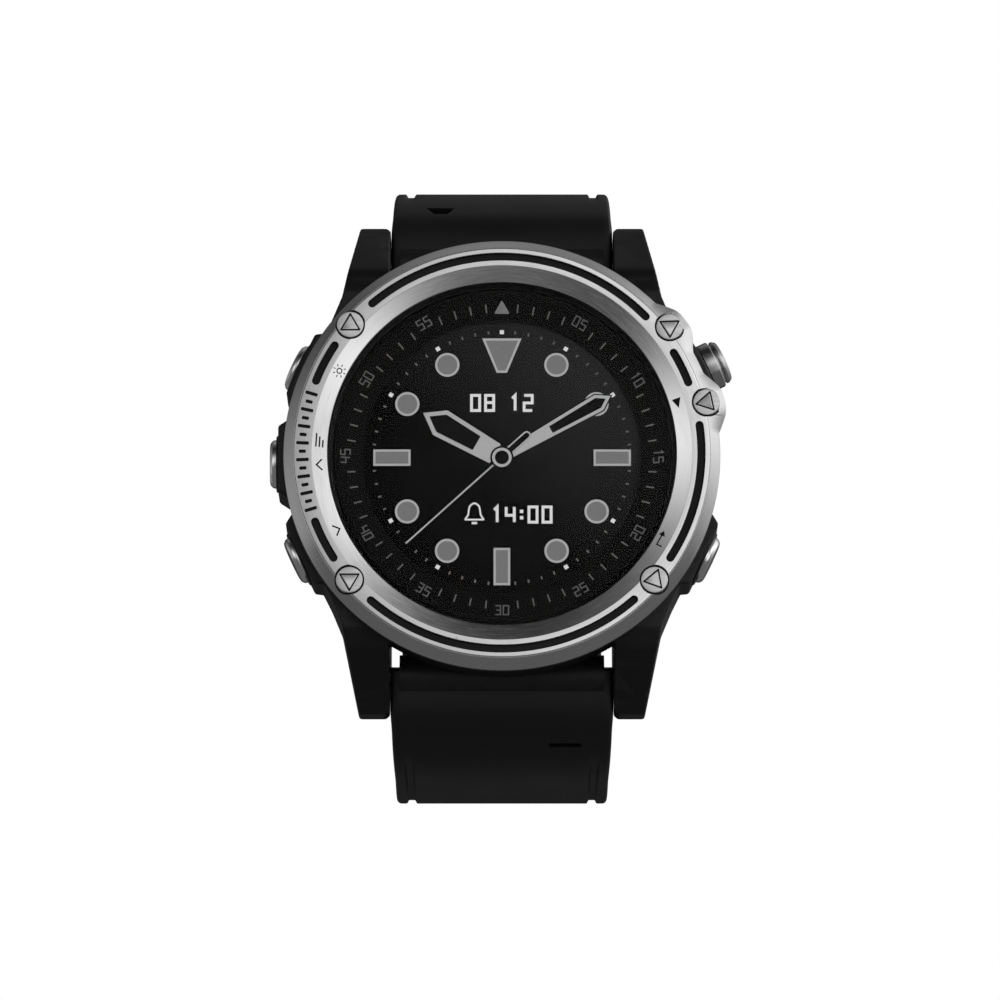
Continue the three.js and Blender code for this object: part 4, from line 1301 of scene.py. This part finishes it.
def strap_long():
    band = strap_sheet(long_line, True)
    boolean(band, strap_root(), "UNION")
    cuts = strap_cuts(long_line)
    rounded = fillet(rectangle(-HOLE_WIDTH / 2, HOLE_WIDTH / 2, -HOLE_LENGTH / 2, HOLE_LENGTH / 2), 0.8)
    for index in range(HOLE_COUNT):
        place = spot(long_line, HOLE_FIRST + HOLE_PITCH * index)
        cuts.append(on_strap(prism("hole", rounded, -3, 3), place))
    cuts.append(on_strap(block("slit", -9.3, -5.55, -0.32, 0.32, 0.9, 3), spot(long_line, 7.5)))
    boolean(band, cuts)
    finish_piece(half_turn(band), "strap_long_fine", "strap_long_half", SILICONE,
                 ["strap_long"], 38)


strap_short()
strap_long()


def latch(line):
    """The quick-release plate under the strap, with two ribs for a fingernail."""
    plate = bevelled(block("plate", -4, 4, -2.4, 1.2, -1.6, -0.75), 0.18, 2)
    ribs = [bevelled(block("rib", -3.2, 3.2, low, low + 0.6, -2.0, -1.5), 0.14, 2)
            for low in (-0.9, 0.2)]
    return on_strap(boolean(plate, ribs, "UNION"), spot(line, LATCH_AT))


LATCHES = {"latch_12": latch(short_line), "latch_6": half_turn(latch(long_line))}
for latch_name, plate in LATCHES.items():
    finish_piece(plate, latch_name + "_fine", latch_name, STEEL_INNER,
                 ["strap_" + latch_name])


# ---- keepers, buckle and lug screws -------------------------------------------------------------
KEEPER_INSIDE, KEEPER_WALL = 13.35, 1.5
BUCKLE_HALF, BUCKLE_INNER_HALF, BUCKLE_REACH = 15.6, 13.4, 12.6
BUCKLE_THICK_HALF = 1.3


def keeper(name, node, body):
    low, high = cad(node)
    low_z, high_z = BUCKLE_Z - 4.6, BUCKLE_Z + 1.55
    inside, wall = KEEPER_INSIDE, KEEPER_WALL
    outer = fillet(rectangle(-inside - wall, inside + wall, low_z - wall, high_z + wall), 1.9, steps=6)
    inner = fillet(rectangle(-inside, inside, low_z, high_z), 0.8, steps=6)
    middle, half = (low.y + high.y) / 2, (high.y - low.y) / 2
    section = fillet([(0, -half), (1, -half), (1, half), (0, half)], [0.12, 0.28, 0.28, 0.12], steps=4)
    loops = []
    for share, along in section:
        loop_points = []
        for (ox, oz), (ix, iz) in zip(outer, inner):
            loop_points.append((ix + (ox - ix) * share, middle + along, iz + (oz - iz) * share))
        loops.append(loop_points)
    body_mesh = stacked(name, loops, wrap=True)
    finish_piece(body_mesh, name, body, SILICONE, [node], 38)


keeper("keeper_fixed_fine", "keeper_fixed", "strap_short_half")
keeper("keeper_free_fine", "keeper_free", "free_keeper")


def buckle():
    reach, half, inner = BUCKLE_REACH, BUCKLE_HALF, BUCKLE_INNER_HALF
    outer = fillet([(-half, 1.8), (-half, -reach), (half, -reach), (half, 1.8), (inner, 1.8),
                    (inner, -10), (-inner, -10), (-inner, 1.8)],
                   [0.9, 2.6, 2.6, 0.9, 0.3, 1.2, 1.2, 0.3], steps=6)
    body = prism("buckle", outer, -BUCKLE_THICK_HALF, BUCKLE_THICK_HALF)
    groove = prism("groove", rectangle(-1.7, 1.7, -reach - 1, -9), -2, -1.15)
    boolean(body, [across_rod(BUCKLE_BORE, -THROUGH, THROUGH, 0, 0), groove])
    body = shifted(bevelled(body, 0.32, 3), 0, BUCKLE_Y, BUCKLE_Z)
    finish_piece(body, "buckle_frame_fine", "buckle", STEEL_BUCKLE, ["buckle_frame"])
    profile = [(0, -15.3), (0.85, -15.3), (0.85, 15.3), (0, 15.3)]
    bar = lathe("bar", fillet(profile, 0.15, closed=False), 40)
    moved(bar, Matrix.Translation((0, BUCKLE_Y, BUCKLE_Z)) @ ALONG_X)
    finish_piece(bar, "buckle_bar_fine", "buckle", STEEL_INNER, ["buckle_bar"])
    outline = [(0.6, -1.75), (-reach + 0.2, -2.9), (-reach + 0.2, -1.5), (-9, -1.5), (-1, -0.2)]
    tongue = side_prism("tongue", fillet(outline, [0, 0.5, 0.5, 2, 0]), -1.5, 1.5)
    boolean(tongue, [moved(rod("eye", 1.85, -1.5, 1.5), ALONG_X)], "UNION")
    boolean(tongue, [across_rod(0.95, -THROUGH, THROUGH, 0, 0)])
    tongue = shifted(bevelled(tongue, 0.2, 2), 0, BUCKLE_Y, BUCKLE_Z)
    finish_piece(tongue, "buckle_tang_fine", "tang", STEEL_BUCKLE, ["buckle_tang"])


buckle()


def socket_screw(name, head, low, high, tip, socket, place):
    """A small screw along z with a hexagon socket, its edges broken."""
    shank = 0.5
    profile = fillet([(0, tip), (shank, tip), (shank, low), (head, low), (head, high - 0.16),
                      (head - 0.16, high), (0, high)], [0, 0.1, 0, 0.05, 0.08, 0.08, 0], closed=False)
    body = lathe("screw", profile, 48)
    hexagon = prism("socket", [polar(socket, 60 * step) for step in range(6)], high - 0.35, high + 1)
    boolean(body, [hexagon])
    finish_piece(moved(body, place), name + "_fine", "case", STEEL_SCREW, [name])


for clock, up in (("12", 1), ("6", -1)):
    outline = [(0, -11), (0.62, -11), (0.62, -15.2), (1.1, -15.2), (1.1, 15.2), (0.62, 15.2),
               (0.62, 11), (0, 11)]
    lug_bar = lathe("lug_bar", fillet(outline, 0.04, closed=False), 40)
    moved(lug_bar, at_lug_bar(up) @ ALONG_X)
    finish_piece(lug_bar, "lug_bar_" + clock + "_fine", "case", STEEL_INNER,
                 ["lug_bar_" + clock])
    for hand, degrees in (("right", 0), ("left", 180)):
        placed = at_lug_bar(up) @ turn_z(degrees) @ ALONG_X
        socket_screw("lug_screw_%s_%s" % (clock, hand), LUG_SCREW_HEAD, 15.5, 16.3, 11.4, 0.7, placed)


# ---- rear ---------------------------------------------------------------------------------------
COVER_SCREWS = [polar(17.2, 45 + 90 * quarter) for quarter in range(4)]


def rear():
    profile = [(8.9, 1.0), (15.4, 1.0), (15.5, 1.06), (19.6, 1.5), (19.6, 2.2), (8.9, 2.2)]
    disc = lathe("cover", fillet(profile, [0.1, 0.02, 0.02, 0.15, 0.05, 0.05]), 160, True)
    cuts = []
    for x, y in COVER_SCREWS:
        cuts.append(shifted(rod("hole", 1.45, 0, 1.7, 40), x, y, 0))
        cuts.append(shifted(rod("hole", 0.65, 0, 3, 24), x, y, 0))
    cuts.append(block("port", 10.5, 14.1, -3.8, 3.8, 0, 3))
    cuts += [shifted(rod("inlet", 0.4, 0, 3, 20), x, -12.2, 0) for x in (-1.2, 0, 1.2)]
    groove = lathe("groove", [(14.55, 0.9), (14.8, 0.9), (14.8, 1.1), (14.55, 1.1)], 160, True)
    boolean(disc, cuts + [groove])
    finish_piece(disc, "rear_cover_fine", "case", STEEL_COVER, ["rear_cover"])
    for number, (x, y) in enumerate(COVER_SCREWS, 1):
        placed = Matrix.Translation((x, y, 0)) @ Matrix.Rotation(math.pi, 4, "X")
        socket_screw("rear_cover_screw_%d" % number, 1.35, -1.65, -1.15, -4.2, 0.6, placed)
    profile = [(0, 0), (7.6, 0), (8.2, 0.25), (8.8, 0.95), (8.8, 1.5), (0, 1.5)]
    window = lathe("window", fillet(profile, [0, 0.6, 0.6, 0.3, 0.1, 0], closed=False), 128)
    finish_piece(window, "sensor_window_fine", "case", WINDOW, ["sensor_window"])
    housing = bevelled(block("housing", 10.7, 13.9, -3.6, 3.6, 1.15, 3.0), 0.15, 2)
    boolean(housing, [block("socket", 11.3, 13.3, -3, 3, 0, 1.6)])
    finish_piece(housing, "charging_port_fine", "case", POLYMER, ["charging_port"])
    pins = []
    profile = [(0, 1.62), (0.42, 1.62), (0.42, 1.4), (0.28, 1.28), (0, 1.25)]
    for index in range(4):
        pin = lathe("pin", fillet(profile, 0.08, closed=False), 24)
        pins.append(shifted(pin, 12.3, -2.25 + 1.5 * index, 0))
    finish_piece(combine("pins", pins), "charging_contacts", "case", GOLD)
    emitters = []
    for x, y in ((0, 0), (3.1, 0), (-3.1, 0), (0, 3.1), (0, -3.1)):
        outline = fillet(rectangle(0.9, 1.15, -0.006, 0.01), 0.003)
        emitters.append(shifted(lathe("ring", outline, 40, True), x, y, 0))
    finish_piece(combine("emitters", emitters), "sensor_window_marks", "case", SENSOR_INK)


rear()


# ---- inner CAD parts keep their shapes and take finer materials -----------------------------------
INNER = {
    "lens_gasket": RUBBER, "rear_gasket": RUBBER, "display_holder": POLYMER, "main_board": BOARD,
    "sensor_board": BOARD, "battery": FOIL, "vibration_motor": STEEL_INNER, "depth_sensor": STEEL_INNER,
}
for button_name in BUTTONS:
    INNER["button_" + button_name + "_bush"] = STEEL_INNER
    INNER["button_" + button_name + "_seal"] = RUBBER
for node_name, look in INNER.items():
    for place in bpy.data.objects[node_name].material_slots:
        place.material = look
